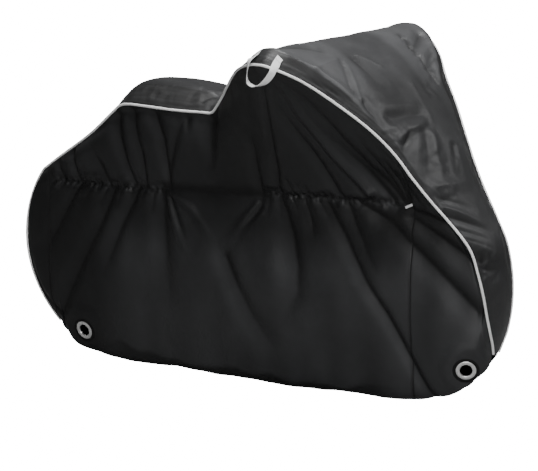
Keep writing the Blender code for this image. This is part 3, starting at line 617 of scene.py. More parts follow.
@dataclass
class NodeBench:
    """Short ways to place nodes in one tree."""

    tree: NodeTree

    def put(self, kind: str, **sockets: object) -> Node:
        """A node of a kind, with values or links for its inputs.

        Args:
            kind: Blender's name of the node type.
            sockets: attribute values, or input values and sockets to link from.

        Returns:
            The node.
        """
        node = self.tree.nodes.new(kind)
        for name, value in sockets.items():
            if hasattr(type(node), name) or name in node.bl_rna.properties:
                setattr(node, name, value)
        for name, value in sockets.items():
            if name in node.bl_rna.properties:
                continue
            key = int(name[1:]) if name[0] == "i" and name[1:].isdigit() else name.replace("_", " ")
            socket = node.inputs[key]
            if isinstance(value, NodeSocket):
                self.tree.links.new(value, socket)
            else:
                socket.default_value = value
        return node

    def math(self, operation: str, a: object, b: object = 0.0) -> NodeSocket:
        """Result of a Math node."""
        return self.put("ShaderNodeMath", operation=operation, i0=a, i1=b).outputs[0]

    def band(self, value: NodeSocket, low: float, high: float,
             to_low: float = 0.0, to_high: float = 1.0) -> NodeSocket:
        """A value moved smoothly from one range to another and held inside it."""
        node = self.put("ShaderNodeMapRange", interpolation_type="SMOOTHSTEP", i0=value,
                        i1=low, i2=high, i3=to_low, i4=to_high)
        return node.outputs[0]

    def group(self, tree: NodeTree, place: NodeSocket, **values: float) -> NodeSocket:
        """Output of a shared group at a place, with values for its other inputs."""
        return self.put("ShaderNodeGroup", node_tree=tree, Place=place, **values).outputs[0]

    def bump(self, height: NodeSocket, distance: float, **over: NodeSocket) -> NodeSocket:
        """Normal bent by a height, over another Normal where one is given."""
        return self.put("ShaderNodeBump", Height=height, Distance=distance, **over).outputs[0]

    def noise(self, place: NodeSocket, scale: float, detail: float = 2.0,
              rough: float = 0.5) -> NodeSocket:
        """Noise over a place."""
        return self.put("ShaderNodeTexNoise", Vector=place, Scale=scale, Detail=detail,
                        Roughness=rough).outputs[0]


class EffectGroups:
    """Node groups that several finishes share, each made once."""

    def __init__(self) -> None:
        """Makes all the groups."""
        self.weave = self._weave()
        self.crumple = self._crumple()
        self.dust = self._dust()

    @staticmethod
    def _start(name: str, inputs: Iterable[tuple[str, str, float]], output: str
               ) -> tuple[NodeTree, NodeBench, Node, Node]:
        """A new group with its sockets.

        Args:
            name: name of the group.
            inputs: name, socket type and default of each input.
            output: name of its one output, a value.

        Returns:
            The tree, a bench for it, and its input and output nodes.
        """
        tree = bpy.data.node_groups.new(name, "ShaderNodeTree")
        for label, kind, default in inputs:
            socket = tree.interface.new_socket(label, in_out="INPUT", socket_type=kind)
            if kind == "NodeSocketFloat":
                socket.default_value = default
        tree.interface.new_socket(output, in_out="OUTPUT", socket_type="NodeSocketFloat")
        bench = NodeBench(tree)
        return tree, bench, tree.nodes.new("NodeGroupInput"), tree.nodes.new("NodeGroupOutput")

    def _weave(self) -> NodeTree:
        """Plain weave: threads that go over and under each other.

        Returns:
            The group.
        """
        tree, bench, given, out = self._start("plain_weave", (
            ("Place", "NodeSocketVector", 0.0), ("Threads per metre", "NodeSocketFloat", 1500.0)),
            "Height")
        split = bench.put("ShaderNodeSeparateXYZ", Vector=given.outputs["Place"])
        turn = bench.math("MULTIPLY", given.outputs["Threads per metre"], math.pi)
        waves = [bench.math("SINE", bench.math("MULTIPLY", split.outputs[k], turn)) for k in (0, 1)]
        over = bench.math("MULTIPLY", waves[0], waves[1])
        round_u = bench.math("ABSOLUTE", waves[0])
        round_v = bench.math("ABSOLUTE", waves[1])
        side = bench.band(over, -0.3, 0.3)
        warp = bench.math("MULTIPLY", round_u, side)
        weft = bench.math("MULTIPLY", round_v, bench.math("SUBTRACT", 1.0, side))
        link(tree, (bench.math("ADD", warp, weft), out.inputs[0]))
        return tree

    def _crumple(self) -> NodeTree:
        """Fine creases of cloth that was folded small.

        Returns:
            The group.
        """
        tree, bench, given, out = self._start("crumple", (
            ("Place", "NodeSocketVector", 0.0), ("Scale", "NodeSocketFloat", 30.0),
            ("Sharpness", "NodeSocketFloat", 0.5)), "Height")
        bend = bench.put("ShaderNodeTexNoise", Vector=given.outputs["Place"],
                         Scale=given.outputs["Scale"], Detail=1.0)
        shifted = bench.put("ShaderNodeVectorMath", operation="MULTIPLY_ADD",
                            i0=bend.outputs["Color"], i1=(0.02, 0.02, 0.02), i2=given.outputs["Place"])
        cells = bench.put("ShaderNodeTexVoronoi", feature="DISTANCE_TO_EDGE",
                          Vector=shifted.outputs[0], Scale=given.outputs["Scale"])
        crease = bench.band(cells.outputs["Distance"], 0.0, 0.35)
        soft = bench.noise(shifted.outputs[0], 45.0, 3.0, 0.55)
        sharp = bench.math("MULTIPLY", crease, given.outputs["Sharpness"])
        link(tree, (bench.math("ADD", sharp, soft), out.inputs[0]))
        return tree

    def _dust(self) -> NodeTree:
        """Uneven patches where the coat is duller and a little paler.

        Returns:
            The group.
        """
        tree, bench, given, out = self._start("dust", (
            ("Place", "NodeSocketVector", 0.0), ("Scale", "NodeSocketFloat", 6.0)), "Amount")
        patches = bench.put("ShaderNodeTexNoise", Vector=given.outputs["Place"],
                            Scale=given.outputs["Scale"], Detail=5.0, Roughness=0.62)
        link(tree, (bench.band(patches.outputs[0], 0.35, 0.75), out.inputs[0]))
        return tree


@dataclass(frozen=True)
class Finish:
    """A finish and its numbers; each kind adds its own pattern."""

    name: str
    colour: tuple[float, float, float]
    roughness: float
    specular: float = 0.5

    def start(self) -> tuple[Material, NodeBench, Node]:
        """A new material with its shader's plain values set.

        Returns:
            The material, a bench for its nodes, and its Principled shader.
        """
        made = bpy.data.materials.new(self.name)
        made.use_nodes = True
        shader = made.node_tree.nodes["Principled BSDF"]
        shader.inputs["Base Color"].default_value = (*self.colour, 1.0)
        shader.inputs["Roughness"].default_value = self.roughness
        shader.inputs["Specular IOR Level"].default_value = self.specular
        made.diffuse_color = (*self.colour, 1.0)
        return made, NodeBench(made.node_tree), shader

    def shade(self, bench: NodeBench, amount: NodeSocket, low: float, high: float) -> NodeSocket:
        """The finish's colour made darker or lighter by an amount from 0 to 1."""
        mix = bench.put("ShaderNodeMix", data_type="RGBA", i0=amount)
        for key, factor in ((6, low), (7, high)):
            mix.inputs[key].default_value = (*(c * factor for c in self.colour), 1.0)
        return mix.outputs[2]

    @staticmethod
    def wire(shader: Node, colour: NodeSocket, rough: NodeSocket, normal: NodeSocket) -> None:
        """Feeds a pattern's colour, roughness and normal to the shader."""
        link(shader.id_data, (colour, shader.inputs["Base Color"]),
             (rough, shader.inputs["Roughness"]), (normal, shader.inputs["Normal"]))


@dataclass(frozen=True)
class CoatedCloth(Finish):
    """Coated polyester: smooth face over a fine weave, creased from being packed."""

    crumple_depth: float = 0.0008
    crumple_scale: float = 26.0

    def make(self, groups: EffectGroups) -> Material:
        """Builds the material.

        Args:
            groups: node groups shared by the finishes.

        Returns:
            The material.
        """
        made, bench, shader = self.start()
        place = bench.put("ShaderNodeTexCoord").outputs["Object"]
        flat = bench.put("ShaderNodeUVMap", uv_map="cloth").outputs[0]
        weave = bench.group(groups.weave, flat, Threads_per_metre=1400.0)
        crumple = bench.group(groups.crumple, place, Scale=self.crumple_scale, Sharpness=0.35)
        dust = bench.group(groups.dust, place)
        strain, kept = (bench.put("ShaderNodeAttribute", attribute_name=name).outputs["Fac"]
                        for name in ("strain", "tone"))
        creased = bench.math("MULTIPLY", crumple, bench.math("ADD", 0.35, strain))
        threads = bench.bump(weave, 0.00006, Normal=bench.bump(creased, self.crumple_depth))
        tone = bench.math("ADD", bench.math("MULTIPLY", dust, 0.7), bench.math("MULTIPLY", weave, 0.3))
        # colour scaled by the tone attribute: painted shade and painted light
        toned = bench.put("ShaderNodeVectorMath", operation="SCALE",
                          i0=self.shade(bench, tone, 0.85, 1.22), Scale=kept)
        # rougher with the dust patches and where painted shade lowers the tone
        dust_and_painted_shade = bench.math("ADD", dust, bench.band(kept, 0.9, 0.2, 0.0, 2.0))
        rough = bench.put("ShaderNodeMapRange", i0=dust_and_painted_shade, i1=0.0, i2=3.0,
                          i3=self.roughness - 0.05, i4=self.roughness + 0.32)
        self.wire(shader, toned.outputs[0], rough.outputs[0], threads)
        return made


@dataclass(frozen=True)
class WovenTape(Finish):
    """Woven or ribbed tape, for the piping and the webbing."""

    threads: float = 900.0
    depth: float = 0.00015

    def make(self, groups: EffectGroups) -> Material:
        """Builds the material.

        Args:
            groups: node groups shared by the finishes.

        Returns:
            The material.
        """
        made, bench, shader = self.start()
        flat = bench.put("ShaderNodeUVMap", uv_map="cloth").outputs[0]
        place = bench.put("ShaderNodeTexCoord").outputs["Object"]
        weave = bench.group(groups.weave, flat, Threads_per_metre=self.threads)
        dust = bench.group(groups.dust, place, Scale=14.0)
        tone = bench.math("ADD", bench.math("MULTIPLY", weave, 0.55),
                          bench.math("MULTIPLY", bench.math("SUBTRACT", 1.0, dust), 0.45))
        rough = bench.put("ShaderNodeMapRange", i0=weave, i1=0.0, i2=1.0,
                          i3=self.roughness + 0.12, i4=self.roughness)
        self.wire(shader, self.shade(bench, tone, 0.72, 1.08), rough.outputs[0],
                  bench.bump(weave, self.depth))
        return made


@dataclass(frozen=True)
class Metal(Finish):
    """Plated metal with fine turned lines and small scuffs."""

    def make(self, groups: EffectGroups) -> Material:
        """Builds the material.

        Args:
            groups: node groups shared by the finishes.

        Returns:
            The material.
        """
        made, bench, shader = self.start()
        shader.inputs["Metallic"].default_value = 1.0
        place = bench.put("ShaderNodeTexCoord").outputs["Object"]
        dust = bench.group(groups.dust, place, Scale=60.0)
        scuffs = bench.noise(place, 420.0, 4.0, 0.6)
        rough = bench.put("ShaderNodeMapRange", i0=bench.math("ADD", dust, scuffs),
                          i1=0.3, i2=1.4, i3=self.roughness, i4=self.roughness + 0.22)
        self.wire(shader, self.shade(bench, dust, 1.04, 0.82), rough.outputs[0],
                  bench.bump(scuffs, 0.00003))
        return made


# ---- making meshes ------------------------------------------------------------------
def only(obj: Object) -> None:
    """Selects one object and makes it active."""
    bpy.ops.object.select_all(action="DESELECT")
    obj.hide_set(False)
    obj.select_set(True)
    bpy.context.view_layer.objects.active = obj


def apply_modifier(obj: Object, name: str) -> None:
    """Applies one modifier of an object."""
    only(obj)
    bpy.ops.object.modifier_apply(modifier=name)


def map_cloth(mesh: Mesh, flat: Grid) -> None:
    """Writes the UV map "cloth" from each point's place (n, 2) on the flat cloth."""
    corners = np.empty(len(mesh.loops), int)
    mesh.loops.foreach_get("vertex_index", corners)
    layer = mesh.uv_layers.get("cloth") or mesh.uv_layers.new(name="cloth")
    layer.data.foreach_set("uv", flat[corners].ravel())


def dress(mesh: Mesh, material: Material, sharp_deg: float = 0.0) -> None:
    """Gives a mesh its finish and smooth shading, with the edges past an angle kept sharp."""
    mesh.shade_smooth()
    if sharp_deg:
        mesh.set_sharp_from_angle(angle=math.radians(sharp_deg))
    mesh.materials.clear()
    mesh.materials.append(material)


def cloth_mesh(name: str, points: Grid, faces: list, flat: Grid) -> Mesh:
    """A mesh with the UV map "cloth".

    Args:
        name: name of the mesh.
        points: (n, 3) points in the bicycle frame.
        faces: corners of each face.
        flat: (n, 2) places of the points on the flat cloth.

    Returns:
        The mesh, in the frame of the part.
    """
    mesh = bpy.data.meshes.new(name)
    mesh.from_pydata((points + SHIFT).tolist(), [], faces)
    map_cloth(mesh, flat)
    return mesh


def face_outwards(mesh: Mesh) -> None:
    """Turns all the faces of closed shells outwards."""
    bm = bmesh.new()
    bm.from_mesh(mesh)
    bmesh.ops.recalc_face_normals(bm, faces=bm.faces)
    bm.to_mesh(mesh)
    bm.free()


def open_primitive(name: str, add: Callable[..., object], **size: object) -> Object:
    """Adds a primitive and opens it in edit mode, selected all over.

    Args:
        name: name of the piece.
        add: operator that adds the primitive.
        size: values for the operator.

    Returns:
        The object.
    """
    bpy.ops.object.select_all(action="DESELECT")
    add(**size)
    made = bpy.context.object
    made.name = name
    bpy.ops.object.mode_set(mode="EDIT")
    bpy.ops.mesh.select_all(action="SELECT")
    return made


def soften_edges(obj: Object, width: float, segments: int) -> None:
    """Bevels the sharp edges of an object."""
    bevel = obj.modifiers.new("edge", "BEVEL")
    bevel.width, bevel.segments, bevel.limit_method = width, segments, "ANGLE"
    apply_modifier(obj, "edge")


def put_object(name: str, data: ID) -> Object:
    """Links a mesh, camera or light to the scene as an object at the origin."""
    made = bpy.data.objects.new(name, data)
    bpy.context.scene.collection.objects.link(made)
    return made


@dataclass
class Sheet:
    """A cut piece of cloth as a grid of points.

    points are (n, m, 3) in the bicycle frame and cloth (n, m, 2) are the same places
    on the flat cloth in metres.  strain says where the cloth is crumpled most, and tone is
    painted shade and painted light, as a factor on the colour.
    """

    name: str
    points: Grid
    cloth: Grid
    strain: Grid
    flip: bool
    tone: Grid
    thickness: float = CLOTH
    holes: list[tuple[Grid, Grid, float]] = field(default_factory=list)

    def make(self, material: Material) -> Object:
        """Builds the sheet with its thickness.

        Args:
            material: its finish.

        Returns:
            The finished object.
        """
        n, m = self.points.shape[:2]
        corner = np.arange(n * m).reshape(n, m)
        a, b, c, d = corner[:-1, :-1], corner[:-1, 1:], corner[1:, 1:], corner[1:, :-1]
        order = (a, d, c, b) if self.flip else (a, b, c, d)
        faces = np.stack([k.ravel() for k in order], axis=1)
        points = self.points.reshape(-1, 3).copy()
        for centre, normal, radius in self.holes:
            middle = points[faces].mean(axis=1) - centre
            flat = middle - np.outer(middle @ normal, normal)
            near = (np.linalg.norm(flat, axis=1) < radius) & (np.abs(middle @ normal) < 0.02)
            rim = np.intersect1d(faces[near], faces[~near])
            faces = faces[~near]
            away = points[rim] - centre
            flat = away - np.outer(away @ normal, normal)
            points[rim] += unit(flat) * radius - flat
        mesh = cloth_mesh(self.name, points, faces.tolist(), self.cloth.reshape(-1, 2))
        for label, values in (("strain", self.strain), ("tone", self.tone)):
            made = mesh.attributes.new(label, "FLOAT", "POINT")
            made.data.foreach_set("value", values.ravel().astype(np.float32))
        bm = bmesh.new()
        bm.from_mesh(mesh)
        bmesh.ops.remove_doubles(bm, verts=bm.verts, dist=WELD)
        loose = [v for v in bm.verts if not v.link_faces]
        bmesh.ops.delete(bm, geom=loose, context="VERTS")
        bm.to_mesh(mesh)
        bm.free()
        made = put_object(self.name, mesh)
        wall = made.modifiers.new("wall", "SOLIDIFY")
        wall.thickness = self.thickness
        wall.offset = 0.0
        wall.use_quality_normals = True
        apply_modifier(made, "wall")
        dress(made.data, material, sharp_deg=48)
        return made


def grid_normals(points: Grid, flip: bool) -> Grid:
    """Outward normals of a grid of points (n, m, 3)."""
    along = np.gradient(points, axis=0)
    across = np.gradient(points, axis=1)
    normal = np.cross(across, along)
    return unit(-normal if flip else normal)


def run_lengths(points: Grid, axis: int) -> Grid:
    """Length from the first row to each point of a grid, along one of its axes."""
    steps = np.linalg.norm(np.diff(points, axis=axis), axis=2)
    pad = [(0, 0), (0, 0)]
    pad[axis] = (1, 0)
    return np.cumsum(np.pad(steps, pad), axis=axis)


def spread(density: Grid, places: Grid, count: int) -> Grid:
    """count places, closer together where the density is higher."""
    steps = (density[1:] + density[:-1]) / 2 * np.diff(places)
    total = np.concatenate(([0.0], np.cumsum(steps)))
    return np.interp(np.linspace(0, total[-1], count), total, places)


def snap_to(values: Grid, marks: Iterable[float]) -> Grid:
    """Moves the nearest inner values onto marks."""
    values = values.copy()
    for mark in marks:
        values[1 + int(np.argmin(np.abs(values[1:-1] - mark)))] = mark
    return values


# ---- side cloth ----------------------------------------------------------------------
SIDE_FOLDS = tuple(Fold(*row) for row in (
    # each row is a fold's path, width, height, kind and fade; places are x and z here
    # below the elastic, from the end of the rear elastic
    (((0.222, 0.584), (0.258, 0.4), (0.28, 0.174)), (0.012, 0.05), -0.022, DRAPE),
    (((0.262, 0.575), (0.349, 0.54), (0.471, 0.422)), (0.007, 0.013), 0.006),
    (((0.24, 0.57), (0.312, 0.443), (0.367, 0.37)), (0.008, 0.014), 0.005),
    (((0.262, 0.56), (0.345, 0.43)), (0.008, 0.013), -0.008),
    (((0.502, 0.4), (0.612, 0.227), (0.7, 0.11)), (0.017, 0.029), -0.017, DRAPE),
    # rear
    (((0.03, 0.58), (-0.04, 0.424), (-0.114, 0.294), (-0.219, 0.107)),
     (0.011, 0.022), -0.02, DRAPE, 0.3),
    (((0.122, 0.575), (0.057, 0.447), (-0.012, 0.266)), (0.01, 0.026), -0.017, DRAPE),
    (((-0.12, 0.57), (-0.2, 0.44), (-0.262, 0.34)), (0.008, 0.017), -0.014, DRAPE, 0.4),
    # from the front elastic
    (((0.605, 0.58), (0.545, 0.5), (0.49, 0.435)), (0.01, 0.016), 0.007),
    (((0.622, 0.575), (0.545, 0.48)), (0.008, 0.01), -0.008),
    (((0.61, 0.47), (0.66, 0.24)), (0.045, 0.06), 0.008),
    (((0.706, 0.6), (0.747, 0.497), (0.778, 0.402), (0.788, 0.317), (0.716, 0.185)),
     (0.01, 0.038), -0.022, DRAPE),
    (((0.797, 0.609), (0.83, 0.49)), (0.007, 0.013), -0.013, DRAPE),
    (((0.88, 0.6), (0.894, 0.572), (0.977, 0.448), (1.096, 0.276), (1.229, 0.054),
      (1.262, 0.01)), (0.014, 0.01), -0.015, DRAPE, 0.2),
    (((0.955, 0.605), (0.974, 0.55), (1.071, 0.391)), (0.011, 0.02), -0.014, DRAPE),
    (((0.996, 0.615), (1.109, 0.562), (1.267, 0.437), (1.42, 0.305)),
     (0.011, 0.02), -0.022, DRAPE, 0.1),
    (((1.174, 0.59), (1.29, 0.53), (1.41, 0.455)), (0.01, 0.017), -0.025, DRAPE, 0.1),
    (((1.182, 0.612), (1.311, 0.584), (1.385, 0.56)), (0.008, 0.012), -0.019, DRAPE, 0.1),
    # above the rear elastic, from the seam down
    (((-0.215, 0.655), (-0.19, 0.58)), (0.008, 0.007), -0.011, DRAPE, -0.5),
    (((-0.152, 0.715), (-0.128, 0.58)), (0.011, 0.007), -0.015, DRAPE, 0),
    (((-0.048, 0.7), (-0.001, 0.59)), (0.017, 0.013), -0.014, DRAPE, -0.8),
    (((0.049, 0.86), (0.068, 0.747), (0.085, 0.671), (0.108, 0.595)),
     (0.017, 0.007), -0.02, DRAPE, 0),
    (((0.12, 0.86), (0.157, 0.701), (0.159, 0.595)), (0.017, 0.008), -0.021, DRAPE, 0),
    (((0.212, 0.86), (0.255, 0.763), (0.257, 0.6)), (0.014, 0.008), -0.018, DRAPE, 0),
    (((0.33, 0.82), (0.254, 0.61)), (0.012, 0.007), -0.011, DRAPE, -0.6),
    # beside the saddle
    (((0.44, 0.86), (0.447, 0.668)), (0.024, 0.006), -0.024, DRAPE),
    (((0.47, 0.87), (0.458, 0.68)), (0.01, 0.006), -0.011, DRAPE),
    (((0.345, 0.86), (0.354, 0.78)), (0.014, 0.008), -0.007),
    # under the handlebar
    (((0.797, 1.000), (0.77, 0.895), (0.728, 0.745), (0.7, 0.625)),
     (0.008, 0.01), -0.015, DRAPE, -0.4),
    (((0.648, 0.825), (0.63, 0.716), (0.628, 0.615)), (0.014, 0.01), -0.015, DRAPE, -1),
    (((0.833, 0.93), (0.852, 0.853), (0.894, 0.752), (0.93, 0.645)),
     (0.014, 0.01), -0.017, DRAPE, -0.8),
    (((0.87, 1.000), (0.891, 0.91), (0.952, 0.787), (1.037, 0.65)),
     (0.012, 0.011), 0.011, SOFT, -0.5),
    (((0.925, 0.98), (1.007, 0.835), (1.062, 0.741), (1.14, 0.64)),
     (0.014, 0.013), -0.02, DRAPE, -0.8),
    (((0.96, 0.85), (1.007, 0.781), (1.112, 0.64)), (0.014, 0.011), -0.017, DRAPE, -0.8),
    (((1.01, 0.76), (1.118, 0.622)), (0.01, 0.008), -0.018, DRAPE, -1),
    (((1.06, 0.85), (1.15, 0.638)), (0.012, 0.007), -0.015, DRAPE, -1),
    (((1.078, 0.74), (1.146, 0.63)), (0.008, 0.006), -0.014, DRAPE, -1),
    (((1.125, 0.79), (1.163, 0.636)), (0.008, 0.007), -0.017, DRAPE, -1),
    (((1.155, 0.75), (1.174, 0.636)), (0.007, 0.006), -0.014, DRAPE, -1),
    # across the gap between the two elastics
    (((0.24, 0.592), (0.45, 0.6), (0.64, 0.606)), (0.02, 0.02), -0.017, DRAPE, 0),
))


@dataclass(frozen=True)
class Fan:
    """How the pleats spread on one side of an elastic."""

    up: float                         # 1 above the elastic, -1 below
    lean: tuple[tuple[float, float], ...]    # x, and the run along x for each metre away
    reach: tuple[float, float]        # shortest and longest pleat
    gap: tuple[float, float]          # least and most from one to the next
    first: tuple[float, float] = (0.003, 0.010)      # from the elastic's end to the first pleat
    near: tuple[float, float] = (0.004, 0.006)       # half width at the elastic
    far: tuple[float, float] = (0.008, 0.014)        # half width at the other end
    depth: tuple[float, float] = (0.003, 0.008)

    def pleats(self, start: float, end: float, dice: random.Random) -> list[Fold]:
        """Pleats from start to end, drawn with dice."""
        lean = np.array(self.lean)
        made, x = [], start + dice.uniform(*self.first)
        while x < end:
            slope = float(np.interp(x, lean[:, 0], lean[:, 1]))
            away = dice.uniform(*self.reach) / math.hypot(1.0, slope)
            z = float(ELASTIC.at(1, np.array(x)))
            path = ((x, z), (x + slope * away, z + self.up * away))
            width = (dice.uniform(*self.near), dice.uniform(*self.far))
            height = -dice.uniform(*self.depth)
            if self.up > 0:
                made.append(Fold(path[::-1], width[::-1], height, DRAPE, fade=-1.0))
            else:
                made.append(Fold(path, width, height, DRAPE))
            x += dice.uniform(*self.gap)
        return made


@dataclass(frozen=True)
class ElasticRun:
    """A stretch of elastic that is sewn across a side and gathers the cloth."""

    start: float
    end: float
    fans: tuple[Fan, ...]

    def window(self, x: Grid) -> Grid:
        """1 along the run and 0 past its ends."""
        return between(x, self.start, 0.012, self.end, 0.012)

    def pleats(self, seed: int) -> list[Fold]:
        """All pleats of the run."""
        dice = random.Random(seed)
        return [pleat for fan in self.fans for pleat in fan.pleats(self.start, self.end, dice)]

    def lift(self, x: Grid, z: Grid, seed: int) -> Grid:
        """How far the gathers move the cloth outwards.

        Args:
            x: places along the cover.
            z: heights.
            seed: picks the pattern.

        Returns:
            Moves in metres.
        """
        ripple = Ripple(seed)
        moved = sum(pleat.lift(x, z) for pleat in self.pleats(seed))
        away = z - ELASTIC.at(1, x)
        band = 0.0054 * np.tanh(3.2 * ripple.at(x / 0.012 + away * 9.0, away / 0.016 + 0.3))
        band += 0.0022 * np.tanh(3.0 * ripple.at(x / 0.026 + 7.0, away / 0.020 + 5.3))
        band -= 0.0034 * bell(away, 0.005)
        beside = 0.0036 * bell(np.abs(away), 0.014, 0.024)
        return moved + (band * bell(away, 0.012) + beside) * self.window(x)

    def strain(self, x: Grid, away: Grid) -> Grid:
        """How crumpled the cloth is, 1 at the elastic and 0 far from it."""
        return bell(away, 0.022) * self.window(x)


ELASTIC_RUNS = (
    ElasticRun(-0.240, 0.252, (
        Fan(1.0, ((-0.24, -0.2), (-0.12, -0.1), (-0.03, -0.28), (0.04, -0.14), (0.10, -0.06),
                  (0.16, -0.18), (0.22, -0.09), (0.25, 0.25)), (0.020, 0.070), (0.014, 0.036)),
        Fan(-1.0, ((-0.24, -0.6), (0.0, -0.5), (0.10, -0.4), (0.20, -0.05), (0.245, 0.3)),
            (0.020, 0.095), (0.014, 0.040)))),
    ElasticRun(0.625, 1.168, (
        Fan(1.0, ((0.65, -0.2), (0.80, -0.4), (0.90, -0.7), (1.00, -0.8), (1.15, -1.2)),
            (0.020, 0.080), (0.013, 0.034)),
        Fan(-1.0, ((0.64, -0.35), (0.70, 0.1), (0.76, 0.3), (0.90, 0.8), (1.00, 1.3), (1.10, 2.0),
                   (1.16, 2.6)), (0.020, 0.110), (0.013, 0.038)))),
)


@dataclass(frozen=True)
class PaintedShade:
    """How much of the coat's tone painted shade takes away at each kind of place, as a share."""

    trough: float
    edge: float                  # along the piping
    hem: float = 0.0
    cut: float = 0.0             # on the upright seams
    tab: float = 0.0             # in the pleats behind the sewn tab


# painted shade in troughs, under the piping, under the hem, along the upright seams and behind the tab
SIDE_PAINTED_SHADE = PaintedShade(trough=0.85, edge=0.5, hem=0.70, cut=0.95, tab=0.75)
# painted shade in troughs and in the crumpled band by the piping
TOP_PAINTED_SHADE = PaintedShade(trough=0.75, edge=0.95)


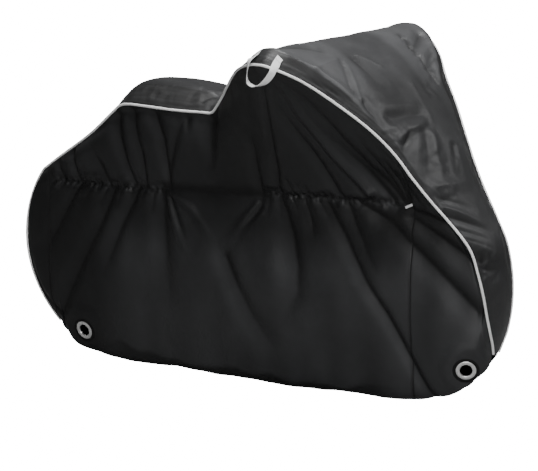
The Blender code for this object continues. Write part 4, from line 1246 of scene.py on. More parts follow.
@dataclass
class SideCloth:
    """One side of the cover: a rear, a main and a front panel."""

    side: Side
    columns: int = 470
    rows: int = 132
    hem_depth: float = 0.022
    hem_rise: float = 0.0010         # how proud the doubled cloth of the hem stands
    hem_wave: float = 0.0013
    fold_limit: float = 0.024        # folds and gathers together never move the cloth further
    pucker: float = 0.0022           # beside the piping
    seam_nip: float = 0.0012         # depth of the upright seams
    seam_width: float = 0.0030
    eyelet_hole: float = 0.027
    eyelet_flat: float = 0.046       # round this far from an eyelet's middle the cloth is flat
    eyelet_blend: float = 0.050
    eyelets: tuple[str, ...] = ("rear", "front")
    least_tone: float = 0.12         # of the coat, under the painted shade of the deepest trough
    plain_tone: float = 0.60
    low_light_tone: float = 1.95         # painted light, added low down
    rear_tone: float = 0.45          # painted light, added above the elastics
    front_tone: float = 0.35

    def __post_init__(self) -> None:
        """Places the grid of the whole side."""
        seed = 11 if self.side is Side.RIGHT else 29
        self.seed, self.noise = seed, Ripple(seed + 100)
        self.section = SECTIONS[self.side]
        self.flip = self.side is Side.LEFT
        self.seats = {where: self.seat(where) for where in self.eyelets}
        self.s = self._column_places()
        self.v = self._row_places()
        self.base = self._base(self.s)
        self.points, self.strain, self.tone = self._shaped(self.base)

    def seat(self, where: str) -> tuple[Grid, Grid]:
        """Finds where an eyelet sits.

        Args:
            where: "rear" or "front".

        Returns:
            Its centre in the bicycle frame, and its outward normal.
        """
        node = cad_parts[f"eyelet_patch_{where}_{self.side.word}"]
        points = np.array([v.co for v in node.data.vertices], float)
        centre = points.mean(axis=0)
        normal = np.linalg.svd(points - centre, full_matrices=False)[2][2]
        if normal[1] * self.side.value < 0:
            normal = -normal
        return centre - SHIFT, normal

    def _column_places(self) -> Grid:
        """Places the columns, closer at the gathers and on both sides of a cut.

        Returns:
            Lengths along the seam, in rising order.
        """
        s = np.linspace(EDGE.rearmost, EDGE.length, 1600)
        x = EDGE.top_edge(s, self.side, CLOTH_REACH)[:, 0]
        slope = np.abs(np.gradient(x, s))
        gathered = sum(run.window(x) for run in ELASTIC_RUNS)
        pitch = 0.0058 - 0.0025 * np.clip(gathered, 0, 1)
        places = spread(np.maximum(slope / pitch, 1 / 0.011), s, self.columns)
        cuts = np.interp((SEAM_REAR_X, SEAM_FRONT_X), x, s)
        near = np.interp([cut + d for cut in (SEAM_REAR_X, SEAM_FRONT_X)
                          for d in (-0.0035, -0.0016, 0.0016, 0.0035)], x, s)
        places = np.sort(np.concatenate((places, near)))
        hem_end = np.interp(EDGE.top_edge(np.zeros(1), self.side, CLOTH_REACH)[0, 0] - 1e-5, x, s)
        return snap_to(places, (*cuts, hem_end))

    def _row_places(self) -> Grid:
        """Places the rows, closer at the elastic.

        Returns:
            Places on the knots, 0 at the seam.
        """
        v = np.linspace(0, SideSection.KNOTS - 1, 1201)
        s = np.array([EDGE.run_at_x(0.55)])
        line = through(self.section.knots(EDGE.top_edge(s, self.side, CLOTH_REACH)), v)
        run = run_lengths(line, 1)[0]
        from_waist = np.abs(run - np.interp(2.0, v, run))
        density = 1 / (0.0030 + 0.0055 * smoothstep(from_waist / 0.10))
        density += 1 / 0.012 * np.exp(-run / 0.02)
        return np.interp(spread(density, run, self.rows), run, v)

    def _under_wheel(self, top: Grid) -> Grid:
        """Lower ends of the columns behind the hem, and nan for the others."""
        s = np.linspace(EDGE.rearmost, 0, 400)
        lower = EDGE.top_edge(s, self.side, CLOTH_REACH)
        x = top[:, 0]
        return np.stack([np.interp(x, lower[:, 0], lower[:, k], right=np.nan) for k in range(3)],
                        axis=1)

    def _base(self, s: Grid) -> Grid:
        """Smooth cloth without folds.

        Args:
            s: lengths along the seam of the columns.

        Returns:
            (n, m, 3) points.
        """
        top = EDGE.top_edge(s, self.side, CLOTH_REACH)
        low = self._under_wheel(top)
        low[0] = top[0]
        base = through(self.section.knots(top, low), self.v)
        base[0] = top[0]
        base[-1] = top[-1]
        return base

    def _shaped(self, base: Grid) -> tuple[Grid, Grid, Grid]:
        """The cloth with its folds, gathers and crumples.

        Args:
            base: (n, m, 3) smooth cloth.

        Returns:
            (n, m, 3) points, (n, m) strain, and (n, m) tone.
        """
        x, z = base[..., 0], base[..., 2]
        down = run_lengths(base, 1)
        tall = down[:, -1:]
        up = tall - down
        away = z - ELASTIC.at(1, x)
        clear = smoothstep(down / 0.022) * smoothstep(up / 0.040) * smoothstep(tall / 0.25)
        moved = sum(fold.lift(x, z) for fold in SIDE_FOLDS) * clear
        gathers = sum(run.lift(x, z, self.seed + 5 * k) for k, run in enumerate(ELASTIC_RUNS))
        moved += gathers * smoothstep(down / 0.012)
        moved = self.fold_limit * np.tanh(moved / self.fold_limit)
        moved += sum(wave.lift(self.noise, x, z) for wave in SIDE_WAVES) * clear
        puckers = self.noise.at(x / 0.019 + 5.0, 0.0 * x + 2.5)
        moved += self.pucker * puckers * np.exp(-down / 0.016) * smoothstep(down / 0.004)
        ripples = self.noise.at(x / 0.030 + 40.0, 0.0 * x + 8.5)
        moved += self.hem_wave * ripples * np.exp(-up / 0.020)
        doubled = smoothstep((self.hem_depth - up) / 0.003) * smoothstep(tall / 0.25)
        moved += self.hem_rise * doubled
        for cut in (SEAM_REAR_X, SEAM_FRONT_X):
            off = np.abs(x - cut)
            nips = 0.5 + 0.8 * self.noise.at(0.0 * x + cut, z / 0.014)
            moved -= self.seam_nip * bell(off, self.seam_width) * nips * clear
            moved -= self.seam_nip * np.exp(-off / self.seam_nip) * smoothstep(down / 0.004)
        normal = grid_normals(base, self.flip)
        shaped = base + normal * moved[..., None]
        for centre, direction in self.seats.values():
            gap = shaped - centre
            distance = np.linalg.norm(gap, axis=2)
            share = 1 - smoothstep((distance - self.eyelet_flat) / self.eyelet_blend)
            shaped -= direction * ((gap @ direction) * share)[..., None]
        strain = sum(run.strain(x, away) for run in ELASTIC_RUNS)
        strain = strain + 0.35 * np.exp(-down / 0.02) + 0.25 * np.exp(-up / 0.03)
        return shaped, np.clip(strain, 0, 1), self._tone(x, z, down, up)

    def _tone(self, x: Grid, z: Grid, down: Grid, up: Grid) -> Grid:
        """Tone of the cloth: painted shade in troughs, at the elastics, hem, seams, piping and tab, and
        painted light low down.

        Args:
            x: places along the cover.
            z: heights.
            down: lengths from the seam.
            up: lengths from the hem.

        Returns:
            Factors for the colour.
        """
        pleats = [pleat for k, run in enumerate(ELASTIC_RUNS)
                  for pleat in run.pleats(self.seed + 5 * k)]
        tone = np.ones(x.shape)
        # painted shade in the troughs of the folds and the pleats
        for fold in (*SIDE_FOLDS, *pleats):
            tone *= 1 - SIDE_PAINTED_SHADE.trough * fold.shade(x, z)
        away = z - ELASTIC.at(1, x)
        # painted shade and painted highlights in the crumples along the elastics: dark gaps and bright
        # bits
        knots = np.clip(0.24 + 4.6 * self.noise.at(x / 0.015 + 20.0, away / 0.018), -4.0, 0.97)
        tone *= 1 - knots * sum(run.strain(x, away * 1.7) for run in ELASTIC_RUNS)
        # painted shade where the cloth turns under at the hem, uneven along it
        hem = 0.084 + 0.045 * self.noise.at(x / 0.10 + 70.0, 0.0 * x + 3.5)
        under = smoothstep((hem - up) / 0.012) * between(x, -0.05, 0.15, 1.15, 0.20)
        tone *= 1 - SIDE_PAINTED_SHADE.hem * under
        # painted shade in the grooves of the upright seams
        for cut in (SEAM_REAR_X, SEAM_FRONT_X):
            tone *= 1 - SIDE_PAINTED_SHADE.cut * bell(x, 0.0042, cut)
        # painted shade just under the piping
        tone *= 1 - SIDE_PAINTED_SHADE.edge * np.exp(-down / 0.006)
        # painted shade in the pleats behind the sewn tab
        tone *= 1 - SIDE_PAINTED_SHADE.tab * bell(x, 0.040, 1.150) * bell(z, 0.026, 0.606)
        # painted light: paler low down in noisy upright streaks, and above the elastics at the rear and
        # the front
        low = smoothstep((0.56 - z) / 0.20) * smoothstep((x + 0.06) / 0.16)
        streaks = 1 + 0.70 * self.noise.at(x / 0.11 + 3.0, z / 0.50 + 6.0)
        rear = smoothstep((z - 0.59) / 0.03) * smoothstep((0.50 - x) / 0.10)
        front = smoothstep((x - 0.72) / 0.14) * smoothstep((z - 0.59) / 0.03)
        return self.least_tone + tone * (self.plain_tone + self.low_light_tone * low * streaks
                                         + self.rear_tone * rear + self.front_tone * front)

    def panel(self, name: str, first: float, last: float, eyelet: str | None = None) -> Sheet:
        """One panel of the side, between two cuts.

        Args:
            name: name of the piece.
            first: length along the seam of its first column.
            last: length along the seam of its last column.
            eyelet: the eyelet whose hole it has.

        Returns:
            The sheet.
        """
        keep = (self.s >= first - 1e-7) & (self.s <= last + 1e-7)
        points = self.points[keep]
        flat = np.stack((np.broadcast_to(self.base[keep][:, :1, 0], points.shape[:2]),
                         -run_lengths(self.base[keep], 1)), axis=2)
        holes = [(*self.seats[eyelet], self.eyelet_hole)] if eyelet else []
        return Sheet(name, points, flat, self.strain[keep], self.flip, self.tone[keep], holes=holes)

    def cuts(self) -> tuple[float, float]:
        """Lengths along the seam of the columns on the two upright seams."""
        x = self.base[:, 0, 0]
        rear, front = (int(np.argmin(np.abs(x - at))) for at in (SEAM_REAR_X, SEAM_FRONT_X))
        return float(self.s[rear]), float(self.s[front])

    def sheets(self) -> list[Sheet]:
        """The three panels, rear to front."""
        rear, front = self.cuts()
        word = self.side.word
        return [self.panel(f"rear_panel_{word}", self.s[0], rear),
                self.panel(f"main_panel_{word}", rear, front, "rear"),
                self.panel(f"front_panel_{word}", front, self.s[-1], "front")]


# ---- top cloth ----------------------------------------------------------------------
TOP_FOLDS = tuple(Fold(*row) for row in (
    # folds of the top, in length along the seam and metres across from the middle: saddle
    (((1.06, -0.075), (1.18, -0.085)), (0.01, 0.012), -0.007, CREASE, 0.45),
    (((1.07, -0.05), (1.26, -0.07)), (0.018, 0.018), 0.005, CREASE, 0.45),
    (((1.18, -0.01), (1.33, -0.08)), (0.02, 0.014), 0.005, CREASE, 0.45),
    (((1.33, -0.11), (1.42, 0.02)), (0.014, 0.02), -0.006, SOFT, 0.45),
    # wing over the handlebar
    (((1.85, -0.376), (1.994, -0.386)), (0.014, 0.014), 0.002, CREASE, 0),
    (((1.994, -0.386), (2.186, -0.24)), (0.014, 0.012), 0.004, CREASE, 0),
    (((1.894, -0.343), (1.992, -0.215)), (0.03, 0.022), -0.007, SOFT, 0.2),
    (((2.067, -0.325), (2.05, -0.187)), (0.014, 0.018), 0.006, CREASE, 0),
    (((2.05, -0.187), (2.176, -0.232)), (0.012, 0.012), -0.005, CREASE, 0),
    (((2.066, -0.168), (2.232, -0.222)), (0.012, 0.014), 0.004, CREASE, 0),
    (((2.24, -0.215), (2.33, -0.205)), (0.014, 0.014), -0.006, SOFT, 0.45),
    # middle strip, from the handlebar down to the front wheel
    (((2.047, -0.079), (2.112, -0.015)), (0.008, 0.007), 0.004, CREASE, 0),
    (((2.06, -0.115), (2.17, -0.09)), (0.026, 0.03), -0.006, SOFT, 0.45),
    (((2.209, 0.069), (2.365, 0.036)), (0.009, 0.01), 0.004, CREASE, 0.45),
    (((2.27, -0.145), (2.288, -0.005)), (0.024, 0.024), 0.007, SOFT, 0.45),
    (((2.325, -0.15), (2.335, 0.000)), (0.02, 0.02), -0.005, SOFT, 0.45),
    (((2.396, -0.155), (2.364, -0.01)), (0.013, 0.013), 0.006, SOFT, 0.3),
    (((2.384, -0.098), (2.436, -0.163)), (0.012, 0.014), -0.01, CREASE, 0.1),
    (((2.42, -0.04), (2.53, -0.1)), (0.018, 0.022), -0.005, SOFT, 0.45),
    (((2.42, 0.000), (2.545, -0.055)), (0.016, 0.02), 0.004, SOFT, 0.45),
    (((2.47, 0.08), (2.57, 0.03)), (0.012, 0.014), -0.005, SOFT, 0.45),
    (((2.52, 0.06), (2.56, 0.032)), (0.01, 0.01), 0.005, CREASE, 0.45),
    (((2.59, -0.11), (2.6, 0.03)), (0.022, 0.022), 0.006, SOFT, 0.45),
    (((2.631, -0.105), (2.706, 0.018)), (0.007, 0.012), -0.006, DRAPE),
    (((2.66, -0.12), (2.76, 0.02)), (0.009, 0.012), 0.004),
    (((2.684, -0.128), (2.79, 0.03)), (0.008, 0.013), -0.011, DRAPE),
    (((2.735, -0.118), (2.818, 0.012)), (0.006, 0.011), -0.006, DRAPE),
    (((2.772, -0.112), (2.842, 0.004)), (0.006, 0.011), -0.006, DRAPE),
    (((2.83, -0.102), (2.93, -0.01)), (0.022, 0.03), -0.014),
    (((2.8, 0.09), (2.93, 0.06)), (0.016, 0.02), -0.006),
    # far corner over the handlebar
    (((1.985, 0.24), (2.06, 0.218)), (0.01, 0.01), -0.008, CREASE, 0),
    (((2.005, 0.33), (2.06, 0.235)), (0.016, 0.014), -0.008, SOFT, 0.45),
    (((2.06, 0.33), (2.1, 0.24)), (0.016, 0.014), 0.008, SOFT, 0.45),
    (((2.06, 0.218), (2.225, 0.222)), (0.009, 0.01), -0.007, CREASE, 0.2),
    (((2.12, 0.3), (2.16, 0.22)), (0.014, 0.014), -0.006, SOFT, 0.45),
))
CRUMPLED = (
    # s,    y,      radius, wave,  depth of a patch of crumples on the top
    (2.030, 0.232, 0.030, 0.026, 0.0038),
    (2.100, 0.212, 0.028, 0.023, 0.0034),
    (2.180, 0.215, 0.030, 0.027, 0.0034),
    (2.240, 0.150, 0.045, 0.034, 0.0030),
    (2.400, -0.160, 0.035, 0.022, 0.0025),
    (2.490, -0.040, 0.060, 0.034, 0.0020),
    (2.620, -0.080, 0.045, 0.026, 0.0018),
    (2.880, -0.060, 0.050, 0.020, 0.0030),
    (1.340, -0.100, 0.060, 0.022, 0.0030),
    (1.120, -0.110, 0.060, 0.026, 0.0028),
)


@dataclass
class TopCloth:
    """The cloth over the bicycle, from the rear hem to the front hem."""

    gather: float = 0.0024           # depth of the gathers along the piping of the wings
    roll: float = 0.010              # height of the roll beside them
    pucker: float = 0.0011           # beside the piping
    wing_tone: float = 0.85          # painted light added to the coat's tone on the wings
    # painted light high over the handlebar
    high_tone: float = 0.40
    middle_tone: float = -0.42       # painted shade over the stem
    low_tone: float = -0.25          # painted shade over the front wheel

    def __post_init__(self) -> None:
        """Prepares the noise of the crumples."""
        self.noise = Ripple(7)
        self.fine = Ripple(8)

    def smooth(self, s: Grid, share: Grid) -> Grid:
        """Points of the smooth top.

        Args:
            s: lengths along the seam.
            share: share of the half width, -1 right to 1 left, same shape.

        Returns:
            (..., 3) points.
        """
        row = EDGE.at(s)
        power = row[..., EdgeSeam.POWER]
        rise = row[..., EdgeSeam.CROWN] * (1 - np.abs(share) ** power)
        flat = np.stack((row[..., EdgeSeam.X], share * row[..., EdgeSeam.HALF_WIDTH],
                         row[..., EdgeSeam.Z]), axis=-1)
        return flat + EDGE.outward(s) * rise[..., None]

    def share_clear(self, s: Grid, reach: float) -> Grid:
        """Finds where the top is a reach away from the piping.

        Args:
            s: lengths along the seam.
            reach: distance from the middle of the piping.

        Returns:
            Shares of the half width.
        """
        low, high = np.full(s.shape, 0.4), np.ones(s.shape)
        edge = EDGE.point(s, Side.LEFT)
        along = EDGE.direction(s, Side.LEFT)
        for _ in range(26):
            middle = (low + high) / 2
            gap = self.smooth(s, middle) - edge
            gap -= along * np.sum(gap * along, axis=-1, keepdims=True)
            far = np.linalg.norm(gap, axis=-1) > reach
            low, high = np.where(far, middle, low), np.where(far, high, middle)
        return low

    def lift(self, s: Grid, share: Grid) -> Grid:
        """How far folds and crumples move the top outwards.

        Args:
            s: lengths along the seam.
            share: share of the half width, -1 right to 1 left, same shape.

        Returns:
            Moves in metres.
        """
        half = EDGE.half_width(s)
        y = share * half
        from_edge = half - np.abs(y)
        clear = smoothstep(from_edge / 0.018)
        ends = between(s, EDGE.tail, 0.03, EDGE.length, 0.03)
        moved = sum(fold.lift(s, y) for fold in TOP_FOLDS) * clear
        for k, (at_s, at_y, radius, wave, depth) in enumerate(CRUMPLED):
            share_in = np.exp(-((s - at_s) ** 2 + (y - at_y) ** 2) / radius ** 2)
            moved += depth * share_in * clear * np.tanh(
                2.5 * self.noise.at(s / wave + 3.7 * k, y / wave + 1.9 * k))
        gathered = between(s, 1.80, 0.05, 2.80, 0.30) * bell(from_edge, 0.045) * clear
        gathers = np.tanh(2.4 * self.fine.at(s / 0.060, from_edge / 0.013 + 2.0))
        moved += self.gather * gathered * gathers
        beside = bell(from_edge, 0.026, 0.058) * between(s, 1.80, 0.10, 2.28, 0.12)
        moved += self.roll * beside * clear
        moved += sum(wave.lift(self.noise, s, y) for wave in TOP_WAVES) * clear
        by_seam = np.exp(-from_edge / 0.018) * smoothstep(from_edge / 0.004)
        moved += self.pucker * self.fine.at(s / 0.016, 0.0 * s + 4.5) * by_seam
        return moved * ends

    def tone(self, s: Grid, share: Grid) -> Grid:
        """Tone of the top: painted shade in troughs, by the piping, over the stem and the front wheel,
        and painted light on the wings and high up.

        Args:
            s: lengths along the seam.
            share: share of the half width, -1 right to 1 left, same shape.

        Returns:
            Factors for the colour.
        """
        half = EDGE.half_width(s)
        y = share * half
        from_edge = half - np.abs(y)
        tone = np.ones(s.shape)
        # painted shade in the troughs of the folds
        for fold in TOP_FOLDS:
            tone *= 1 - TOP_PAINTED_SHADE.trough * fold.shade(s, y)
        # painted shade in the crumpled band along the piping, in streaks
        band = np.interp(s, (1.02, 1.04, 1.45, 1.60, 1.80, 1.87, 2.05, 2.20, 2.30, 2.60, 2.90),
                         (0.0, 0.085, 0.075, 0.030, 0.030, 0.064, 0.056, 0.062, 0.045, 0.025, 0.0))
        streaks = 0.82 + 0.55 * self.fine.at(s / 0.09, from_edge / 0.008)
        bare = smoothstep((from_edge - band) / 0.010 + 1)
        tone *= 1 - np.clip(TOP_PAINTED_SHADE.edge * streaks * (1 - bare), 0, 0.97)
        # painted light on the wings and high up, painted shade over the stem and low over the front
        # wheel
        wing = between(s, 1.72, 0.10, 2.30, 0.20) * smoothstep((np.abs(y) - 0.11) / 0.05)
        low = smoothstep((s - 2.42) / 0.20)
        high = between(s, 1.75, 0.10, 2.28, 0.16)
        middle = bell(s, 0.10, 2.24) * smoothstep((0.20 - np.abs(y)) / 0.06)
        return tone * (1 + self.wing_tone * wing * bare + self.high_tone * high
                       + self.middle_tone * middle + self.low_tone * low)

    def at(self, s: Grid, share: Grid) -> Grid:
        """Points of the top with its folds, in the shape of s and share."""
        return self.smooth(s, share) + EDGE.outward(s) * self.lift(s, share)[..., None]


@dataclass
class TopPanels:
    """The middle strip and the two wings, cut from the top cloth."""

    top: TopCloth
    strip_rows: int = 680
    strip_columns: int = 62
    wing_rows: int = 280
    wing_columns: int = 54

    def __post_init__(self) -> None:
        """Finds where the wings begin and end."""
        s = np.linspace(EDGE.rearmost, EDGE.length, 3000)
        spare = self._spare(s)
        x = EDGE.at(s)[:, EdgeSeam.X]
        wide = np.flatnonzero((spare > 0) & (x > 0.42) & (x < 1.19))
        self.wing_start, self.wing_end = float(s[wide[0]]), float(s[wide[-1]])

    def _clear_half(self, s: Grid) -> Grid:
        """Half width in metres at which the top cloth meets the piping."""
        return EDGE.half_width(s) * self.top.share_clear(np.maximum(s, 0.0), CLOTH_REACH)

    @staticmethod
    def _strip_half(s: Grid) -> Grid:
        """Half width of the middle strip where wings are sewn to it."""
        return Rows(STRIP_ROWS).at(1, EDGE.at(s)[:, EdgeSeam.X])

    def _spare(self, s: Grid) -> Grid:
        """Width left beside the middle strip for a wing."""
        return self._clear_half(s) - self._strip_half(s)

    def seam_half(self, s: Grid) -> Grid:
        """Half width of the middle strip."""
        whole = self._clear_half(s)
        inside = (s > self.wing_start) & (s < self.wing_end)
        return np.where(inside, np.minimum(whole, self._strip_half(s)), whole)

    def _sheet(self, name: str, s: Grid, shares: Grid) -> Sheet:
        """Cuts a sheet from the top.

        Args:
            name: name of the piece.
            s: (n,) lengths along the seam.
            shares: (n, m) shares of the half width.

        Returns:
            The sheet.
        """
        along = np.broadcast_to(s[:, None], shares.shape)
        points = self.top.at(along, shares)
        half = EDGE.half_width(s)[:, None]
        across = run_lengths(self.top.smooth(along, shares), 1)
        flat = np.stack((along, across + (shares * half)[:, :1]), axis=2)
        from_edge = half - np.abs(shares * half)
        strain = np.clip(0.8 * np.exp(-from_edge / 0.03) + 0.15, 0, 1)
        return Sheet(name, points, flat, strain, True, self.top.tone(along, shares))

    def strip(self) -> Sheet:
        """Cuts the middle strip.

        Returns:
            The sheet.
        """
        fine = np.linspace(EDGE.tail, EDGE.length, 2000)
        pitch = np.interp(fine, (0.9, 1.1, 1.7, 1.9), (0.0080, 0.0052, 0.0052, 0.0038))
        s = spread(1 / pitch, fine, self.strip_rows)
        share = self.seam_half(s) / EDGE.half_width(s)
        t = np.linspace(-1, 1, self.strip_columns + 1)
        t = np.sign(t) * (1 - (1 - np.abs(t)) ** 1.15)
        return self._sheet("middle_strip", s, share[:, None] * t)

    def wing(self, side: Side) -> Sheet:
        """Cuts the wing of one side.

        Args:
            side: side of the cover.

        Returns:
            The sheet.
        """
        s = np.linspace(self.wing_start, self.wing_end, self.wing_rows)
        half = EDGE.half_width(s)
        inner, outer = self.seam_half(s) / half, self._clear_half(s) / half
        outer = np.maximum(inner, outer)
        t = np.sin(np.linspace(0, math.pi / 2, self.wing_columns))
        shares = inner[:, None] + (outer - inner)[:, None] * t
        if side is Side.RIGHT:
            shares = -shares[:, ::-1]
        return self._sheet(f"wing_panel_{side.word}", s, shares)


# ---- trim ------------------------------------------------------------------------------
@dataclass
class Piping:
    """White filled piping with its sewn flange, along the seam of one side."""

    side: Side
    top: TopCloth
    pitch: float = 0.0055
    short: float = 0.004         # it stops this far before a hem
    flange_reach: float = 0.0098

    def _section(self, cloth_d: Grid, cloth_n: Grid) -> Grid:
        """Outline of the cross-section at each place.

        Args:
            cloth_d: (n,) distance of the flange's edge from the middle of the bead.
            cloth_n: (n,) height of the cloth there.

        Returns:
            (n, k, 2) points as distance towards the cloth and height.
        """
        count = len(cloth_d)
        even = np.ones(count)
        flange = np.stack([np.stack((away * even, height * even), axis=1) for away, height in (
            (0.0052, 0.0020), (cloth_d - 0.0012, cloth_n + 0.0021), (cloth_d, cloth_n + 0.0015),
            (cloth_d - 0.0003, cloth_n + 0.0010), (0.0050, 0.0010))], axis=1)
        angles = np.radians(np.arange(12, -326, -26))
        bead = BEAD_RADIUS * np.stack((np.cos(angles), np.sin(angles)), axis=1)
        return np.concatenate((flange, np.broadcast_to(bead, (count, *bead.shape))), axis=1)

    def make(self, name: str, material: Material) -> tuple[Object, Grid, Grid]:
        """Builds the piping.

        Args:
            name: name of the piece.
            material: its finish.

        Returns:
            The object, and the line of its stitches with its normals.
        """
        s = np.arange(self.short, EDGE.length - self.short, self.pitch)
        centre = EDGE.point(s, self.side)
        along = EDGE.direction(s, self.side, 0.006)
        sign = self.side.value
        near = self.top.at(s, sign * self.top.share_clear(s, CLOTH_REACH + 0.001))
        far = self.top.at(s, sign * self.top.share_clear(s, self.flange_reach))
        to_cloth = near - centre
        to_cloth = unit(to_cloth - along * np.sum(to_cloth * along, axis=1, keepdims=True))
        normal = unit(np.cross(along, to_cloth)) * sign
        gap = far - centre
        section = self._section(np.sum(gap * to_cloth, axis=1), np.sum(gap * normal, axis=1))
        points = (centre[:, None] + to_cloth[:, None] * section[..., :1]
                  + normal[:, None] * section[..., 1:])
        made = self._mesh(name, points, s, material)
        line = far - to_cloth * 0.0030 + normal * 0.0021
        return made, line, normal

    def _mesh(self, name: str, points: Grid, s: Grid, material: Material) -> Object:
        """Skins the cross-sections and closes both ends.

        Args:
            name: name of the piece.
            points: (n, k, 3) cross-sections.
            s: (n,) lengths along the seam.
            material: its finish.

        Returns:
            The object.
        """
        n, k = points.shape[:2]
        corner = np.arange(n * k).reshape(n, k)
        after = np.roll(corner, -1, axis=1)
        faces = np.stack((corner[:-1], after[:-1], after[1:], corner[1:]), axis=2).reshape(-1, 4)
        round_run = run_lengths(points, 1)
        flat = np.stack((round_run, np.broadcast_to(s[:, None], (n, k))), axis=2).reshape(-1, 2)
        caps = [corner[0].tolist(), corner[-1][::-1].tolist()]
        mesh = cloth_mesh(name, points.reshape(-1, 3), faces.tolist() + caps, flat)
        face_outwards(mesh)
        dress(mesh, material, sharp_deg=50)
        return put_object(name, mesh)


def tree_of(obj: Object) -> BVHTree:
    """Search tree over an object's mesh."""
    return BVHTree.FromObject(obj, bpy.context.evaluated_depsgraph_get())


LOOP_ROWS = (
    # x,     depth, z,     turn of the webbing about its run in degrees
    (0.800, 0.452, 1.090, -60.0),
    (0.799, 0.460, 1.064, -40.0),
    (0.799, 0.463, 1.040, -30.0),
    (0.807, 0.465, 1.020, -12.0),
    (0.828, 0.465, 1.012, 6.0),
    (0.852, 0.462, 1.018, 34.0),
    (0.870, 0.458, 1.033, 50.0),
    (0.880, 0.453, 1.049, 48.0),
    (0.885, 0.446, 1.064, 36.0),
)
LOOP_FEET = ((0.800, 0.416), (0.884, 0.421))


@dataclass
class WebbingLoop:
    """Carrying loop of flat webbing, sewn on above a handlebar end."""

    side: Side
    width: float = 0.025
    thickness: float = 0.0016
    foot: float = 0.014
    across: int = 8

    def _foot(self, cloth: BVHTree, x: float, depth: float) -> tuple[list[Grid], Grid]:
        """Sewn end, clear of the cloth under it.

        Args:
            cloth: search tree of the wing.
            x: place of the foot along the cover.
            depth: its outer end, from the middle plane.

        Returns:
            Its inner and outer middle points, and the direction of its width.
        """
        sign, half = self.side.value, self.width / 2

        def height(at_x: float, at_depth: float) -> float:
            """Height of the cloth."""
            start = Vector((at_x, sign * at_depth, 1.3)) + Vector(SHIFT)
            hit = cloth.ray_cast(start, Vector((0, 0, -1)))[0]
            return hit.z - float(SHIFT[2])

        middle = depth - self.foot / 2
        slope = (height(x + half, middle) - height(x - half, middle)) / self.width
        inner, outer = height(x, depth - self.foot), height(x, depth)
        proud = max(height(x + b * half, depth - self.foot * (1 - a / 8))
                    - (inner + (outer - inner) * a / 8 + slope * b * half)
                    for a in range(9) for b in (-1.0, -0.5, 0.0, 0.5, 1.0))
        lift = proud + self.thickness / 2 + CLOTH / 2 + REST_GAP
        return ([np.array((x, sign * (depth - self.foot), inner + lift)),
                 np.array((x, sign * depth, outer + lift))], unit(np.array((1.0, 0.0, slope))))

    def make(self, name: str, cloth: BVHTree, material: Material
             ) -> tuple[Object, list[tuple[Grid, Grid]]]:
        """Builds the loop.

        Args:
            name: name of the piece.
            cloth: search tree of the wing it is sewn to.
            material: its finish.

        Returns:
            The object, and lines of stitches with their normals.
        """
        sign = self.side.value
        places, width = self._foot(cloth, *LOOP_FEET[0])
        widths = [width, width]
        for x, depth, z, twist in LOOP_ROWS:
            angle = math.radians(twist)
            places.append(np.array((x, sign * depth, z)))
            widths.append(np.array((-math.sin(angle), sign * math.cos(angle), 0.0)))
        ends, width = self._foot(cloth, *LOOP_FEET[1])
        places += ends[::-1]
        widths += [-width, -width]
        rows = np.concatenate((np.array(places), np.array(widths)), axis=1)
        v = np.linspace(0, len(rows) - 1, 150)
        fine = through(rows[None, :, :3], v)[0]
        broad = unit(through(rows[None, :, 3:], v)[0])
        run = run_lengths(fine[None], 1)[0]
        t = np.linspace(-1, 1, self.across + 1) * self.width / 2
        points = fine[:, None] + broad[:, None] * t[None, :, None]
        flat = np.stack((np.broadcast_to(t, points.shape[:2]),
                         np.broadcast_to(run[:, None], points.shape[:2])), axis=2)
        even = np.ones(points.shape[:2])
        sheet = Sheet(name, points, flat, 0 * even, self.side is Side.RIGHT, even,
                      thickness=self.thickness)
        made = sheet.make(material)
        soften_edges(made, width=0.0004, segments=2)
        return made, self._box_stitches(rows)

    def _box_stitches(self, rows: Grid) -> list[tuple[Grid, Grid]]:
        """Square of stitches with a cross in it, on both feet."""
        lines = []
        up = np.array((0.0, 0.0, 1.0))
        for inner, outer in ((rows[0], rows[1]), (rows[-1], rows[-2])):
            run, wide = outer[:3] - inner[:3], inner[3:] * self.width * 0.40
            normal = unit(np.cross(run, wide))
            normal = normal * np.sign(normal @ up)
            face = inner[:3] + normal * self.thickness * THREAD_RISE
            a, b = (face + run * share for share in (0.12, 0.95))
            square = np.array((a - wide, b - wide, b + wide, a + wide, a - wide,
                               b + wide, b - wide, a + wide))
            lines.append((square, np.broadcast_to(normal, square.shape)))
        return lines


@dataclass
class Turned:
    """A round piece turned about its axis from a closed outline."""

    outline: tuple[tuple[float, float], ...]     # radius and height
    segments: int = 96

    def make(self, name: str, seat: Matrix, material: Material) -> Object:
        """Builds the piece by drawing a ring out along the outline.

        Args:
            name: name of the piece.
            seat: its place and tilt in the frame of the part.
            material: its finish.

        Returns:
            The object.
        """
        radius, height = self.outline[0]
        made = open_primitive(name, bpy.ops.mesh.primitive_circle_add, vertices=self.segments,
                              radius=radius, location=(0, 0, 0), fill_type="NOTHING")
        bpy.ops.transform.translate(value=(0, 0, height))
        for r, h in (*self.outline[1:], self.outline[0]):
            bpy.ops.mesh.extrude_edges_move(TRANSFORM_OT_translate={"value": (0, 0, h - height)})
            bpy.ops.transform.resize(value=(r / radius, r / radius, 1), center_override=(0, 0, h))
            radius, height = r, h
        bpy.ops.mesh.select_all(action="SELECT")
        bpy.ops.mesh.remove_doubles(threshold=WELD)
        bpy.ops.mesh.normals_make_consistent(inside=False)
        bpy.ops.object.mode_set(mode="OBJECT")
        mesh = made.data
        map_cloth(mesh, np.array([v.co[:2] for v in mesh.vertices]))
        mesh.transform(seat)
        dress(mesh, material, sharp_deg=42)
        return made


